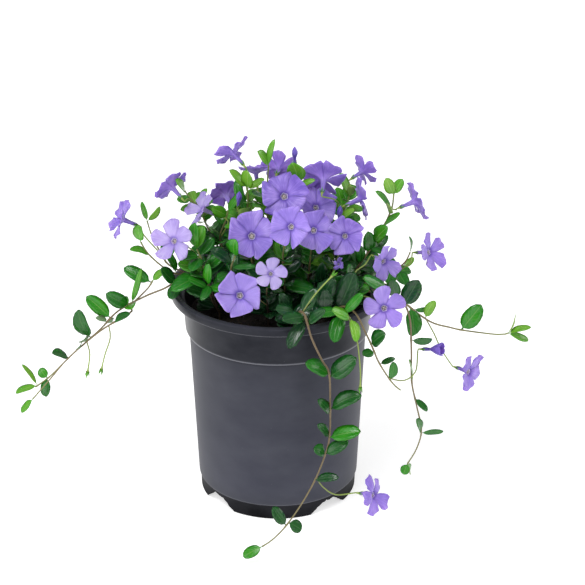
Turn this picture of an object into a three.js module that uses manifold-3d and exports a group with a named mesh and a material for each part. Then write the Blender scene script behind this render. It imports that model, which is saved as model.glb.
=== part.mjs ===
// A lesser periwinkle in bloom, in a black nursery pot: leafy stems stand in the soil, arch over
// the rim and trail down, and five-petalled flowers sit on thin stalks. Millimetres, +Z up.
// The origin is the middle of the pot's underside, on the surface that it stands on, -Y the front.
import * as THREE from "three";
import { mergeVertices } from "three/addons/utils/BufferGeometryUtils.js";
import Module from "manifold-3d";

const wasm = await Module();
wasm.setup();

// Driving dimensions.
const CLEARANCE = 0.3; // between touching pieces
const POT_HEIGHT = 158.6;
const RIM_RADIUS = 75;
const WALL = 1.5;
const POT_SIDES = 28;
const FEET = 4; // feet round the base, with a drain notch between each two
const FOOT_SPAN = 0.65; // share of the base's edge that is foot
const NOTCH_HEIGHT = 8.6;
const SOIL_TOP = 142;
const ROOT_DEPTH = 131; // height of the stems' lower ends, in plain holes in the soil
const NECK = 145; // height up to which a stem stands upright
const MAIN_RADIUS = 1.05; // of a stem that stands in the soil
const SIDE_RADIUS = 0.95;
const STALK_RADIUS = 0.65;
const CANE_TAPER = 0.2; // share of its radius that a cane loses to its tip
const CANE_SIDES = 4;
const CANE_STEP = 20; // length between the points of a cane's line
const CALYX_RADIUS = 1.5;
const CALYX_LENGTH = 2.6;
const TUBE_SHARE = 0.68; // a flower's tube against the radius of its petals
const TUBE_FOOT = 1.5; // the tube's further length in the calyx
const BLADE = 0.75; // leaf thickness along the midrib
const LEAF_GAP = 0.5; // least distance kept between leaves of different stems
const FUSED_GAP = -0.8; // between leaves of one stem, which may meet

const vec = (p) => new THREE.Vector3(...p);
const mix = (a, b, t) => a.clone().lerp(b, t);

// Flowers, as [middle, direction faced, petal radius, turn in degrees, form]. Broad petals touch
// each other, narrow ones stand apart, and the shut one has not opened.
const FLOWERS = {
  left_far: [[-107, -5, 209], [-0.86, -0.2, 0.47], 15, 20, "narrow"],
  left_back: [[-73, 10, 227], [-0.62, 0.6, 0.5], 14.5, 10, "broad"],
  left_front: [[-71, -20, 199], [-0.42, -0.78, 0.46], 15.5, 40, "narrow"],
  left_inner: [[-52, 1, 214], [-0.78, -0.3, 0.5], 13, 0, "narrow"],
  top_left: [[-30, 10, 252], [-0.6, 0.56, 0.57], 14.5, 15, "narrow"],
  top_middle: [[-15, 25, 232], [-0.1, 0.27, 0.96], 12, 30, "broad"],
  top_back: [[1, 35, 231], [0.15, 0.99, 0.05], 13.5, 20, "narrow"],
  middle_high: [[5, -15, 230], [0.05, -0.83, 0.55], 17.5, 32, "broad"],
  middle_left: [[-17, -30, 207], [0, -0.86, 0.51], 17.5, 25, "broad"],
  middle_front: [[9, -45, 220], [-0.35, -0.83, 0.44], 15.3, 30, "broad"],
  middle_right: [[25, -28, 210], [0.1, -0.94, 0.32], 15.5, 20, "broad"],
  middle_behind: [[27, 0, 216], [0.25, -0.67, 0.7], 15, 40, "broad"],
  top_right: [[32, 10, 233], [0.1, 0.88, 0.46], 16.5, 54, "broad"],
  right_high: [[60, 32, 230], [0.78, 0.52, 0.35], 12.5, 10, "narrow"],
  right_side: [[58, 5, 220], [0.91, 0.28, 0.3], 15.8, 60, "narrow"],
  right_inner: [[46, -26, 205], [-0.05, -0.93, 0.37], 14.2, 55, "broad"],
  right_faded: [[42, -34, 188], [0.3, -0.69, 0.65], 7, 10, "narrow"],
  right_tall: [[95, 5, 218], [0.88, 0.4, 0.22], 15, 30, "narrow"],
  right_far: [[106, -5, 184], [0.8, -0.54, 0.25], 14.5, 20, "narrow"],
  right_low: [[73, -33, 189], [0.61, -0.79, -0.02], 13.5, 35, "narrow"],
  right_front: [[72, -60, 167], [0.05, -0.93, 0.37], 15.4, 29, "narrow"],
  front_small: [[-4, -50, 188], [0.05, -0.86, 0.51], 11.4, 10, "narrow"],
  front_large: [[-25, -52, 173], [-0.05, -0.86, 0.51], 16.5, 67, "broad"],
  loop_shut: [[107, -35, 124], [0.89, -0.42, 0.2], 8, 0, "shut"],
  runner_right: [[135, -25, 101], [0.76, -0.65, 0.02], 14.7, 50, "narrow"],
  runner_front: [[67, -85, 37], [0.86, -0.48, 0.15], 14.4, 25, "narrow"],
  back_left: [[-38, 54, 205], [-0.35, 0.8, 0.48], 15.5, 10, "broad"],
  back_right: [[24, 64, 193], [0.2, 0.86, 0.46], 15, 40, "narrow"],
};

// Rolled buds, as [lower end, direction, length].
const BUDS = {
  bud_top: [[12, 10, 243], [0, 0.1, 1], 13],
  bud_left: [[-27, 0, 216], [0.1, -0.1, 1], 12],
  bud_right: [[42, -5, 206], [0.1, 0, 1], 13],
};

// Stems. Each is a list of canes: the first stands in the soil, and each later one grows from
// cane `on` at the share `from` of its length. path goes on from there. A leaf is
// [share of the cane's length, tip, width, turn in degrees]. pairs puts leaf pairs by rule, as
// [first share, last share, number, leaf length, turn of the first pair]. A cane with flower or
// bud is its stalk, and one with spent is a stalk whose flower has dropped.
const STEMS = {
  runner_left: [
    {
      root: [-40, -12],
      path: [[-52, -14, 161], [-67, -15, 167], [-78, -17, 162], [-92, -20, 157], [-110, -24, 148],
        [-123, -27, 135], [-143, -30, 117], [-158, -32, 102], [-169, -34, 94]],
      leaves: [[0.49, [-93, -23, 180], 4, 70], [0.5, [-117, -28, 163], 9, -40],
        [0.5, [-110, -10, 150], 8], [0.49, [-98, -34, 151], 8], [0.59, [-132, -20, 157], 9],
        [0.61, [-124, -32, 148], 5, 60], [0.6, [-115, -18, 136], 6], [0.7, [-137, -29, 151], 10],
        [0.72, [-129, -40, 129], 7], [0.82, [-156, -36, 121], 8], [0.94, [-166, -29, 106], 6],
        [0.94, [-161, -39, 89], 8], [0.99, [-179, -30, 109], 4, 60], [0.99, [-182, -39, 91], 6]],
      pairs: [0.16, 0.3, 2, 19, 30],
    },
    { on: 0, from: 0.48, path: [[-89, -18, 163], [-86, -17, 168]],
      leaves: [[0.92, [-106, -12, 175], 9], [0.97, [-77, -13, 173], 6]] },
    { on: 0, from: 0.5, path: [[-100, -28, 150], [-108, -32, 146], [-123, -35, 137],
      [-144, -38, 119], [-157, -40, 104], [-170, -42, 89]],
      leaves: [[0.21, [-101, -38, 153], 6], [0.5, [-134, -46, 132], 6], [1, [-178, -44, 79], 6]] },
    { on: 2, from: 0.25, path: [[-115, -36, 133], [-119, -37, 121], [-122, -36, 109]], spent: true },
    { on: 2, from: 0.44, path: [[-129, -41, 123], [-131, -42, 110]], spent: true },
  ],
  shoot_left: [
    {
      root: [-36, 0],
      path: [[-52, 0, 163], [-71, -3, 167], [-79, -6, 173], [-89, -8, 184], [-94, -8, 193]],
      leaves: [[1, [-95, -8, 206], 8], [0.87, [-101, -13, 190], 6], [0.61, [-78, 3, 184], 7, 50],
        [0.5, [-64, -14, 163], 10]],
      pairs: [0.25, 0.42, 2, 19, 70],
    },
    { on: 0, from: 0.5, path: [[-76, 3, 171], [-82, 4, 181], [-87, 4, 192], [-90, 3, 204]],
      leaves: [[0.5, [-76, 0, 194], 8, 80], [0.4, [-72, 12, 181], 6], [1, [-93, 2, 219], 4],
        [1, [-81, 7, 213], 4, 70]] },
    { on: 1, from: 0.45, path: [[-88, 0, 189], [-93, -2, 197]], flower: "left_far" },
  ],
  shoot_left_back: [
    {
      root: [-30, 12],
      path: [[-38, 14, 171], [-49, 14, 195], [-54, 14, 209], [-60, 13, 216], [-64, 12, 223]],
      leaves: [[1, [-71, 1, 234], 7, -80], [0.92, [-69, 6, 219], 5, -60], [0.86, [-49, 19, 222], 5]],
      pairs: [0.2, 0.75, 3, 20, 10],
    },
    { on: 0, from: 0.8, path: [[-61, 9, 218]], flower: "left_back" },
  ],
  shoot_left_inner: [
    {
      root: [-26, 3],
      path: [[-32, 4, 171], [-40, 5, 189], [-36, 5, 203], [-34, 5, 211]],
      leaves: [[0.95, [-45, -5, 217], 7, -70], [0.7, [-53, -3, 196], 8], [0.98, [-25, 8, 223], 6]],
      pairs: [0.25, 0.7, 2, 20, 60],
    },
    { on: 0, from: 0.75, path: [[-34, 3, 204]], flower: "left_inner" },
  ],
  shoot_left_front: [
    {
      root: [-40, -22],
      path: [[-46, -22, 165], [-50, -19, 179], [-55, -16, 191]],
      leaves: [[0.9, [-58, -31, 181], 9], [1, [-50, -10, 206], 8], [0.7, [-72, -36, 169], 12],
        [1, [-60, -22, 211], 8]],
      pairs: [0.3, 0.75, 2, 19, 45],
    },
    { on: 0, from: 0.72, path: [[-56, -14, 187], [-62, -11, 191]], flower: "left_front" },
    { on: 0, from: 0.25, path: [[-45, -28, 159], [-47, -31, 171]],
      leaves: [[1, [-46, -36, 189], 7], [1, [-51, -45, 166], 6], [0.95, [-38, -42, 170], 7],
        [0.85, [-61, -34, 177], 6], [0.6, [-62, -26, 167], 10]] },
  ],
  shoot_top_left: [
    {
      root: [-14, 8],
      path: [[-17, 8, 173], [-22, 7, 202], [-20, 6, 218], [-21, 5, 229]],
      leaves: [[0.99, [-32, 3, 242], 7], [0.99, [-20, -3, 244], 9, 80], [0.98, [-9, 7, 234], 6],
        [0.79, [-35, 8, 229], 6], [0.72, [-22, -7, 218], 8]],
      pairs: [0.2, 0.65, 3, 20, 0],
    },
    { on: 0, from: 0.86, path: [[-21, 8, 234]], flower: "top_left" },
    { on: 0, from: 0.74, path: [[-26, 3, 211]], bud: "bud_left" },
  ],
  shoot_top: [
    {
      root: [-2, 17],
      path: [[-4, 17, 175], [-7, 14, 204], [-7, 12, 224], [-6, 10, 242]],
      leaves: [[1, [-13, 7, 254], 8], [1, [-2, 14, 260], 4], [0.82, [4, 19, 225], 6]],
      pairs: [0.2, 0.7, 3, 20, 45],
    },
    { on: 0, from: 0.74, path: [[-12, 18, 217]], flower: "top_middle" },
    { on: 0, from: 0.12, path: [[3, 15, 168], [8, 12, 203], [12, 9, 221], [13, 6, 231]],
      leaves: [[0.99, [10, 0, 249], 11, -60], [0.95, [26, 5, 234], 4, 30]] },
    { on: 2, from: 0.72, path: [[6, 17, 221], [2, 20, 229]], flower: "top_back" },
    { on: 2, from: 0.85, path: [[13, 9, 235]], bud: "bud_top" },
  ],
  shoot_middle: [
    {
      root: [0, -1],
      path: [[1, -2, 173], [3, -1, 203]],
      pairs: [0.25, 0.85, 3, 21, 20],
    },
    { on: 0, from: 0.9, path: [[4, -1, 215]], flower: "middle_high" },
  ],
  shoot_middle_left: [
    {
      root: [-15, -10],
      path: [[-17, -12, 173], [-18, -13, 189]],
      pairs: [0.25, 0.9, 2, 21, 70],
    },
    { on: 0, from: 0.9, path: [[-17, -15, 196]], flower: "middle_left" },
  ],
  shoot_middle_front: [
    {
      root: [6, -24],
      path: [[5, -26, 168], [4, -28, 189], [5, -30, 201]],
      leaves: [[0.55, [25, -36, 169], 11]],
      pairs: [0.25, 0.8, 2, 20, 45],
    },
    { on: 0, from: 0.93, path: [[8, -32, 207]], flower: "middle_front" },
  ],
  shoot_middle_right: [
    {
      root: [20, -9],
      path: [[22, -10, 173], [24, -12, 193]],
      pairs: [0.25, 0.9, 2, 21, 10],
    },
    { on: 0, from: 0.9, path: [[24, -12, 200]], flower: "middle_right" },
  ],
  shoot_top_right: [
    {
      root: [22, 9],
      path: [[24, 9, 171], [28, 6, 195], [37, 5, 209]],
      leaves: [[0.95, [47, -6, 216], 7], [0.9, [26, 17, 217], 7]],
      pairs: [0.2, 0.7, 3, 21, 60],
    },
    { on: 0, from: 0.72, path: [[25, 10, 201]], flower: "middle_behind" },
    { on: 0, from: 0.92, path: [[42, 5, 215], [39, 1, 221]], flower: "top_right" },
  ],
  shoot_right_high: [
    {
      root: [34, 18],
      path: [[38, 19, 173], [44, 20, 198], [50, 20, 215]],
      leaves: [[1, [44, 14, 232], 8], [1, [58, 12, 226], 6], [0.85, [42, 29, 219], 8]],
      pairs: [0.2, 0.8, 3, 20, 30],
    },
    { on: 0, from: 0.95, path: [[51, 22, 222]], flower: "right_high" },
  ],
  shoot_right_side: [
    {
      root: [36, 4],
      path: [[38, 2, 171], [41, -1, 193], [43, -1, 207]],
      leaves: [[1, [48, -9, 217], 6], [0.8, [53, 4, 207], 7]],
      pairs: [0.2, 0.75, 2, 20, 0],
    },
    { on: 0, from: 0.85, path: [[43, 0, 211], [44, 0, 217]], flower: "right_side" },
    { on: 0, from: 0.8, path: [[41, -4, 201]], bud: "bud_right" },
  ],
  shoot_right_inner: [
    {
      root: [34, -14],
      path: [[38, -16, 168], [41, -17, 185]],
      leaves: [[0.5, [30, -33, 189], 9, -80]],
      pairs: [0.3, 0.9, 2, 19, 50],
    },
    { on: 0, from: 0.95, path: [[44, -14, 193]], flower: "right_inner" },
    { on: 0, from: 0.7, path: [[38, -24, 178]], flower: "right_faded" },
  ],
  shoot_right_tall: [
    {
      root: [47, -4],
      path: [[52, -4, 165], [59, -3, 177], [64, -3, 185], [70, -2, 196], [75, 0, 205],
        [79, 1, 215], [80, 2, 225]],
      leaves: [[0.99, [74, -2, 238], 7, -60], [0.99, [86, 6, 234], 6], [0.89, [67, -2, 228], 6],
        [0.85, [72, -9, 222], 6], [0.76, [85, -6, 213], 6], [0.64, [74, -13, 206], 10, 80],
        [0.55, [62, -13, 203], 8, -80], [0.45, [54, -17, 196], 7, -80], [0.57, [77, -7, 183], 6],
        [0.5, [77, 5, 192], 7]],
      pairs: [0.15, 0.35, 2, 20, 60],
    },
    { on: 0, from: 0.89, path: [[82, -1, 214]], flower: "right_tall" },
  ],
  shoot_right_far: [
    {
      root: [50, 8],
      path: [[58, 8, 163], [72, 5, 166], [82, 3, 166], [88, 2, 169]],
      leaves: [[0.86, [94, 8, 164], 8], [0.93, [89, -7, 159], 9], [1, [93, 5, 178], 4],
        [0.74, [82, 14, 171], 7], [0.66, [76, -6, 178], 9, 80]],
      pairs: [0.25, 0.5, 2, 19, 80],
    },
    { on: 0, from: 0.97, path: [[93, 2, 173]], flower: "right_far" },
    { on: 0, from: 0.9, path: [[89, -1, 175], [92, -3, 183]], leaves: [[1, [92, -3, 195], 4, 30]] },
  ],
  shoot_right_low: [
    {
      root: [36, -34],
      path: [[41, -37, 161], [46, -39, 169], [48, -37, 177]],
      leaves: [[0.8, [58, -49, 180], 12], [0.9, [37, -50, 185], 9, -60], [0.72, [29, -52, 169], 7],
        [1, [42, -38, 192], 7]],
      pairs: [0.35, 0.6, 2, 18, 20],
    },
    { on: 0, from: 0.95, path: [[54, -34, 183], [60, -30, 186]], flower: "right_low" },
    { on: 0, from: 0.7, path: [[60, -45, 169]], flower: "right_front" },
  ],
  shoot_front: [
    {
      root: [-6, -32],
      path: [[-7, -34, 163], [-7, -36, 173]],
      pairs: [0.5, 1, 2, 18, 45],
    },
    { on: 0, from: 0.9, path: [[-6, -37, 176]], flower: "front_small" },
    { on: 0, from: 0.6, path: [[-16, -37, 165]], flower: "front_large" },
    { on: 0, from: 0.35, path: [[-18, -31, 161], [-27, -31, 171], [-31, -36, 185], [-28, -39, 196]],
      leaves: [[1, [-27, -44, 211], 9], [0.85, [-45, -42, 202], 9], [0.83, [-14, -41, 189], 5]],
      pairs: [0.45, 0.7, 2, 18, 30] },
  ],
  tuft_rim_right: [
    {
      root: [24, -50],
      path: [[29, -57, 161], [40, -64, 168], [49, -69, 164]],
      leaves: [[1, [36, -78, 174], 8], [0.85, [24, -75, 169], 7], [0.9, [38, -81, 152], 9],
        [1, [53, -80, 151], 6], [0.9, [57, -66, 181], 6], [0.6, [32, -66, 183], 9],
        [0.55, [38, -54, 187], 11]],
      pairs: [0.4, 0.4, 1, 16, 70],
    },
    { on: 0, from: 0.97, path: [[53, -76, 153], [55, -78, 139], [56, -78, 127], [56, -78, 117]],
      spent: true },
  ],
  runner_right: [
    {
      root: [46, -16],
      path: [[58, -18, 165], [75, -20, 166], [89, -21, 152], [106, -22, 139], [120, -21, 134],
        [131, -20, 131], [154, -18, 127], [161, -18, 128]],
      leaves: [[0.53, [107, -16, 147], 4, 70], [0.51, [94, -29, 131], 11], [0.6, [109, -20, 154], 6],
        [0.78, [141, -21, 151], 11], [1, [166, -16, 142], 4, 60], [1, [176, -22, 135], 5],
        [1, [176, -15, 121], 6], [0.36, [79, -11, 175], 9]],
      pairs: [0.2, 0.28, 2, 18, 30],
    },
    { on: 0, from: 0.6, path: [[109, -23, 130], [114, -24, 119]], flower: "runner_right" },
  ],
  runner_hanging: [
    {
      root: [42, -26],
      path: [[54, -32, 163], [70, -37, 170], [83, -41, 166], [90, -43, 153], [92, -43, 129],
        [93, -42, 103], [97, -40, 83], [101, -40, 63], [98, -40, 48], [92, -40, 36]],
      leaves: [[0.5, [107, -40, 133], 5, 60], [0.66, [90, -47, 122], 6, 30], [0.73, [104, -46, 81], 5],
        [0.87, [97, -44, 74], 7], [0.87, [117, -37, 60], 4, 60], [1, [89, -43, 29], 6],
        [1, [96, -38, 24], 6], [0.37, [96, -40, 179], 11], [0.33, [77, -48, 183], 8, -70],
        [0.3, [61, -43, 190], 10]],
      pairs: [0.17, 0.25, 2, 18, 60],
    },
  ],
  runner_loop: [
    {
      root: [30, -42],
      path: [[42, -54, 165], [52, -64, 166], [60, -67, 151], [65, -66, 139], [69, -61, 127],
        [77, -53, 110], [82, -49, 102], [85, -48, 99]],
      leaves: [[0.27, [52, -52, 190], 13], [0.6, [73, -69, 155], 10], [0.65, [57, -71, 137], 6],
        [0.75, [80, -61, 130], 4], [0.9, [79, -54, 124], 6]],
      pairs: [0.2, 0.3, 1, 16, 10],
    },
    { on: 0, from: 0.88, path: [[87, -51, 108], [95, -49, 114]], flower: "loop_shut" },
  ],
  runner_front: [
    {
      root: [9, -46],
      path: [[12, -58, 161], [18, -74, 170], [23, -82, 156], [30, -81, 139], [35, -79, 128],
        [36, -75, 101], [36, -74, 80], [34, -76, 68], [27, -82, 50], [17, -92, 35],
        [6, -102, 23], [-3, -108, 16], [-10, -112, 13]],
      leaves: [[0.23, [4, -87, 171], 9], [0.24, [8, -88, 151], 8], [0.09, [0, -57, 177], 9],
        [0.2, [22, -68, 187], 8], [0.25, [36, -76, 174], 7],
        [0.42, [19, -86, 139], 10], [0.43, [53, -82, 141], 12], [0.54, [57, -78, 111], 10],
        [0.55, [28, -81, 109], 7], [0.63, [27, -79, 89], 6], [0.63, [57, -78, 83], 10],
        [0.68, [25, -80, 71], 8], [0.68, [47, -80, 77], 8], [0.76, [42, -88, 53], 6],
        [0.91, [-3, -100, 37], 7], [0.9, [16, -99, 18], 8], [1, [-23, -114, 6], 7]],
      pairs: [0.09, 0.09, 1, 16, 20],
    },
    { on: 0, from: 0.75, path: [[31, -83, 43], [40, -84, 37]], flower: "runner_front" },
    { on: 0, from: 0.2, path: [[24, -72, 181], [31, -66, 187], [37, -60, 191]], spent: true },
  ],
  runner_back: [
    {
      root: [-10, 40],
      path: [[-14, 56, 165], [-18, 72, 169], [-22, 84, 155], [-26, 86, 131], [-28, 84, 109],
        [-34, 88, 91]],
      pairs: [0.2, 0.95, 6, 20, 20],
    },
  ],
  shoot_back_left: [
    {
      root: [-26, 30],
      path: [[-29, 34, 169], [-32, 38, 187]],
      leaves: [[0.95, [-44, 34, 200], 9], [0.98, [-24, 44, 203], 8]],
      pairs: [0.27, 0.78, 2, 20, 15],
    },
    { on: 0, from: 0.85, path: [[-33, 42, 191]], flower: "back_left" },
  ],
  shoot_back_right: [
    {
      root: [16, 36],
      path: [[18, 42, 165], [20, 46, 179]],
      leaves: [[1, [10, 50, 193], 9], [1, [33, 44, 193], 9]],
      pairs: [0.3, 0.85, 2, 20, 40],
    },
    { on: 0, from: 0.85, path: [[21, 49, 181]], flower: "back_right" },
  ],
};

// A seeded draw from 0 to 1, the same on every run.
let drawState = 20240517;
function draw() {
  drawState = (drawState * 16807) % 2147483647;
  return drawState / 2147483647;
}

// A smooth line through points, with further points between those that lie far apart.
function smoothLine(points) {
  const line = [];
  for (let i = 0; i < points.length - 1; i++) {
    const before = points[Math.max(i - 1, 0)];
    const [a, b] = [points[i], points[i + 1]];
    const after = points[Math.min(i + 2, points.length - 1)];
    const steps = Math.max(1, Math.round(a.distanceTo(b) / CANE_STEP));
    for (let s = 0; s < steps; s++) {
      const t = s / steps;
      const at = new THREE.Vector3();
      for (const axis of ["x", "y", "z"]) {
        const [p, q, r, u] = [before[axis], a[axis], b[axis], after[axis]];
        at[axis] = 0.5 * (2 * q + (r - p) * t + (2 * p - 5 * q + 4 * r - u) * t * t
          + (3 * q - p - 3 * r + u) * t * t * t);
      }
      line.push(at);
    }
  }
  line.push(points.at(-1).clone());
  return line;
}

// The point and direction at a share of a line's length.
function along(line, share) {
  const lengths = line.slice(1).map((p, i) => p.distanceTo(line[i]));
  let rest = share * lengths.reduce((sum, l) => sum + l, 0);
  let i = 0;
  while (i < lengths.length - 1 && rest > lengths[i]) {
    rest -= lengths[i];
    i++;
  }
  const t = Math.min(rest / lengths[i], 1);
  return { at: mix(line[i], line[i + 1], t), ahead: line[i + 1].clone().sub(line[i]).normalize() };
}

// Solids from closed triangle lists.
function solidOf(geometry) {
  geometry.deleteAttribute("normal");
  geometry.deleteAttribute("uv");
  const merged = mergeVertices(geometry, 1e-4);
  return new wasm.Manifold(new wasm.Mesh({
    numProp: 3,
    vertProperties: merged.attributes.position.array,
    triVerts: new Uint32Array(merged.index.array),
  }));
}

function closedSolid(points, triangles) {
  const geometry = new THREE.BufferGeometry();
  const flat = points.flatMap((p) => [p.x, p.y, p.z]);
  geometry.setAttribute("position", new THREE.Float32BufferAttribute(flat, 3));
  geometry.setIndex(triangles.flat());
  return solidOf(geometry);
}

// The mesh of a solid, without the hair-thin voids that meeting faces can leave in it.
function meshOf(name, solid, material) {
  const whole = solid.decompose().sort((a, b) => b.volume() - a.volume())[0];
  const { vertProperties, triVerts, numProp } = whole.getMesh();
  const geometry = new THREE.BufferGeometry();
  const interleaved = new THREE.InterleavedBuffer(vertProperties, numProp);
  geometry.setAttribute("position", new THREE.InterleavedBufferAttribute(interleaved, 3, 0));
  geometry.setIndex(new THREE.BufferAttribute(triVerts, 1));
  const mesh = new THREE.Mesh(geometry.toNonIndexed(), material);
  mesh.geometry.computeVertexNormals();
  mesh.name = name;
  return mesh;
}

// A ring of points about an axis, and the triangles of a tube over such rings, ends closed.
function ringAbout(middle, side, up, radius, count) {
  return Array.from({ length: count }, (_, i) => {
    const angle = (2 * Math.PI * i) / count;
    return middle.clone().addScaledVector(side, radius * Math.cos(angle))
      .addScaledVector(up, radius * Math.sin(angle));
  });
}

function tubeSolid(rings) {
  const count = rings[0].length;
  const last = (rings.length - 1) * count;
  const triangles = [];
  for (let k = 0; k < rings.length - 1; k++)
    for (let i = 0; i < count; i++) {
      const [a, b] = [k * count + i, k * count + ((i + 1) % count)];
      triangles.push([a, b, b + count], [a, b + count, a + count]);
    }
  for (let i = 1; i < count - 1; i++)
    triangles.push([0, i + 1, i], [last, last + i, last + i + 1]);
  return closedSolid(rings.flat(), triangles);
}

// The pot: a moulded shell with a turned-out lip, a collar under it, and a foot with notches.
const FLOOR = 8; // height of the soil's bed
const COLLAR = 126; // height where the wall steps out under the rim
const WALL_FOOT = 57.2; // radius of the wall above the foot
const WALL_TOP = 62.6; // radius of the wall below the collar
const COLLAR_TOP = 66.8; // radius of the collar below the rim
const RIM_UNDER = 152; // height of the rim's underside
const POT_OUTSIDE = [[0, 0], [12, 0], [13, 6], [49, 6], [50, 0], [56.3, 0], [56.7, 11.4],
  [WALL_FOOT, 12], [WALL_TOP, COLLAR], [64.8, COLLAR + 2], [COLLAR_TOP, RIM_UNDER],
  [RIM_RADIUS, RIM_UNDER + 0.6], [RIM_RADIUS, POT_HEIGHT], [70.4, POT_HEIGHT]];
const POT_INSIDE = [[65.2, 151], [WALL_TOP - WALL, COLLAR], [54, FLOOR], [0, FLOOR]];

function turned(profile) {
  const points = profile.map(([r, z]) => new THREE.Vector2(r, z));
  return new THREE.LatheGeometry(points, POT_SIDES).rotateX(Math.PI / 2);
}

// One drain notch, narrower at its top, cut through the foot and the edge of the floor.
const NOTCH_REACH = [46, 60]; // radii between which a notch is cut
const NOTCH_TOP = 0.35; // width of a notch at its top, against that at the surface
const NOTCH_BOTTOM = 1.15; // the same, 2 mm below the surface
const FRONT_FOOT = -Math.PI / 2 - 0.08; // the foot in front is turned a little to the left

function notchCutter(middleAngle) {
  const half = ((1 - FOOT_SPAN) * Math.PI) / FEET;
  const corners = [-1, 1].flatMap((end) => NOTCH_REACH.map((radius) => [end, radius]));
  const points = [-2, NOTCH_HEIGHT].flatMap((z) => corners.map(([end, radius]) => {
    const angle = middleAngle + end * half * (z > 0 ? NOTCH_TOP : NOTCH_BOTTOM);
    return new THREE.Vector3(radius * Math.cos(angle), radius * Math.sin(angle), z);
  }));
  const quads = [[0, 1, 3, 2], [4, 6, 7, 5], [0, 4, 5, 1], [2, 3, 7, 6], [1, 5, 7, 3], [0, 2, 6, 4]];
  return closedSolid(points, quads.flatMap(([a, b, c, d]) => [[a, c, b], [a, d, c]]));
}

function potSolid() {
  const shell = solidOf(turned([...POT_OUTSIDE, ...POT_INSIDE]));
  const pitch = (2 * Math.PI) / FEET;
  return Array.from({ length: FEET }, (_, i) => notchCutter(FRONT_FOOT + (i + 0.5) * pitch))
    .reduce((pot, cutter) => pot.subtract(cutter), shell);
}

// The soil: fills the pot, with a low crumbly top and a plain hole for each stem.
const HOLE_LENGTH = 20; // enough to reach out of the soil

// How far the soil's top is heaved up or down at a place.
function heave(x, y) {
  return 0.9 * Math.sin(x * 0.31 + y * 0.17) + 0.7 * Math.cos(y * 0.37 - x * 0.11);
}

function soilSolid(canes) {
  const bed = FLOOR + CLEARANCE;
  const side = [[0, bed], [53.5, bed], [WALL_TOP - WALL - CLEARANCE, COLLAR]];
  const top = [[WALL_TOP, SOIL_TOP - 6], [40, SOIL_TOP - 1], [0, SOIL_TOP]];
  const geometry = turned([...side, ...top]);
  const place = geometry.attributes.position;
  for (let i = 0; i < place.count; i++) {
    const [x, y, z] = [place.getX(i), place.getY(i), place.getZ(i)];
    const out = Math.hypot(x, y);
    if (out < WALL_TOP - 1 && out > 1 && z > SOIL_TOP - 10) place.setZ(i, z + heave(x, y));
  }
  const holes = canes.filter((c) => c.root).map((c) => {
    const bottom = new THREE.Vector3(c.root[0], c.root[1], ROOT_DEPTH - CLEARANCE);
    const [x, y] = [new THREE.Vector3(1, 0, 0), new THREE.Vector3(0, 1, 0)];
    const ends = [bottom, bottom.clone().add(new THREE.Vector3(0, 0, HOLE_LENGTH))];
    return tubeSolid(ends.map((m) => ringAbout(m, x, y, MAIN_RADIUS + CLEARANCE, CANE_SIDES)));
  });
  return holes.reduce((soil, hole) => soil.subtract(hole), solidOf(geometry));
}

// Where a flower's stalk ends: the calyx at the foot of its tube.
function flowerParts([middle, faces, radius, turn, form]) {
  const face = vec(faces).normalize();
  const open = vec(middle);
  const tube = TUBE_SHARE * radius + TUBE_FOOT;
  return { open, face, radius, turn, form, tube, calyx: open.clone().addScaledVector(face, -tube) };
}

function budParts([foot, direction, length]) {
  return { calyx: vec(foot), face: vec(direction).normalize(), length };
}

// Two directions square to a given one, the first as level as it can be.
function squareTo(axis) {
  const side = new THREE.Vector3(0, 0, 1).cross(axis);
  if (side.length() < 1e-3) side.set(1, 0, 0);
  side.normalize();
  return [side, axis.clone().cross(side).normalize()];
}

// Petal outlines as [degrees from the petal's middle, share of the radius], the notch first.
const PETAL = {
  broad: [[-36, 0.72], [-27, 0.98], [-6, 0.95], [15, 0.93], [31, 0.86]],
  narrow: [[-36, 0.42], [-25, 0.86], [-11, 1], [11, 0.94], [27, 0.8]],
  shut: [[-36, 0.75], [-24, 0.95], [-8, 0.98], [10, 0.98], [26, 0.95]],
};

// A flower: five petals fused into one limb round the throat, on a funnel-shaped tube.
const PETAL_PITCH = 72; // degrees from petal to petal
const HALF_PETAL = 36;
const LIMB_START = 0.34; // share of the radius where the petals leave the throat
const LIMB_HALF = 0.5; // half the thickness there
const TUBE_ENDS = [1, 2.4]; // radii of the tube at its foot and just under the petals
const TUBE_TOP = -3; // height of the wide end, from the middle of the petals
const THROAT_DEPTH = 1.2;
const SHUT = { rise: 0.75, spread: 0.62 }; // how steep and how wide the petals of a shut flower are
const OPEN = { rise: 0.06, spread: 1 };
const LOPSIDED = 0.035; // how far a petal's one side stands above its other

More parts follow.
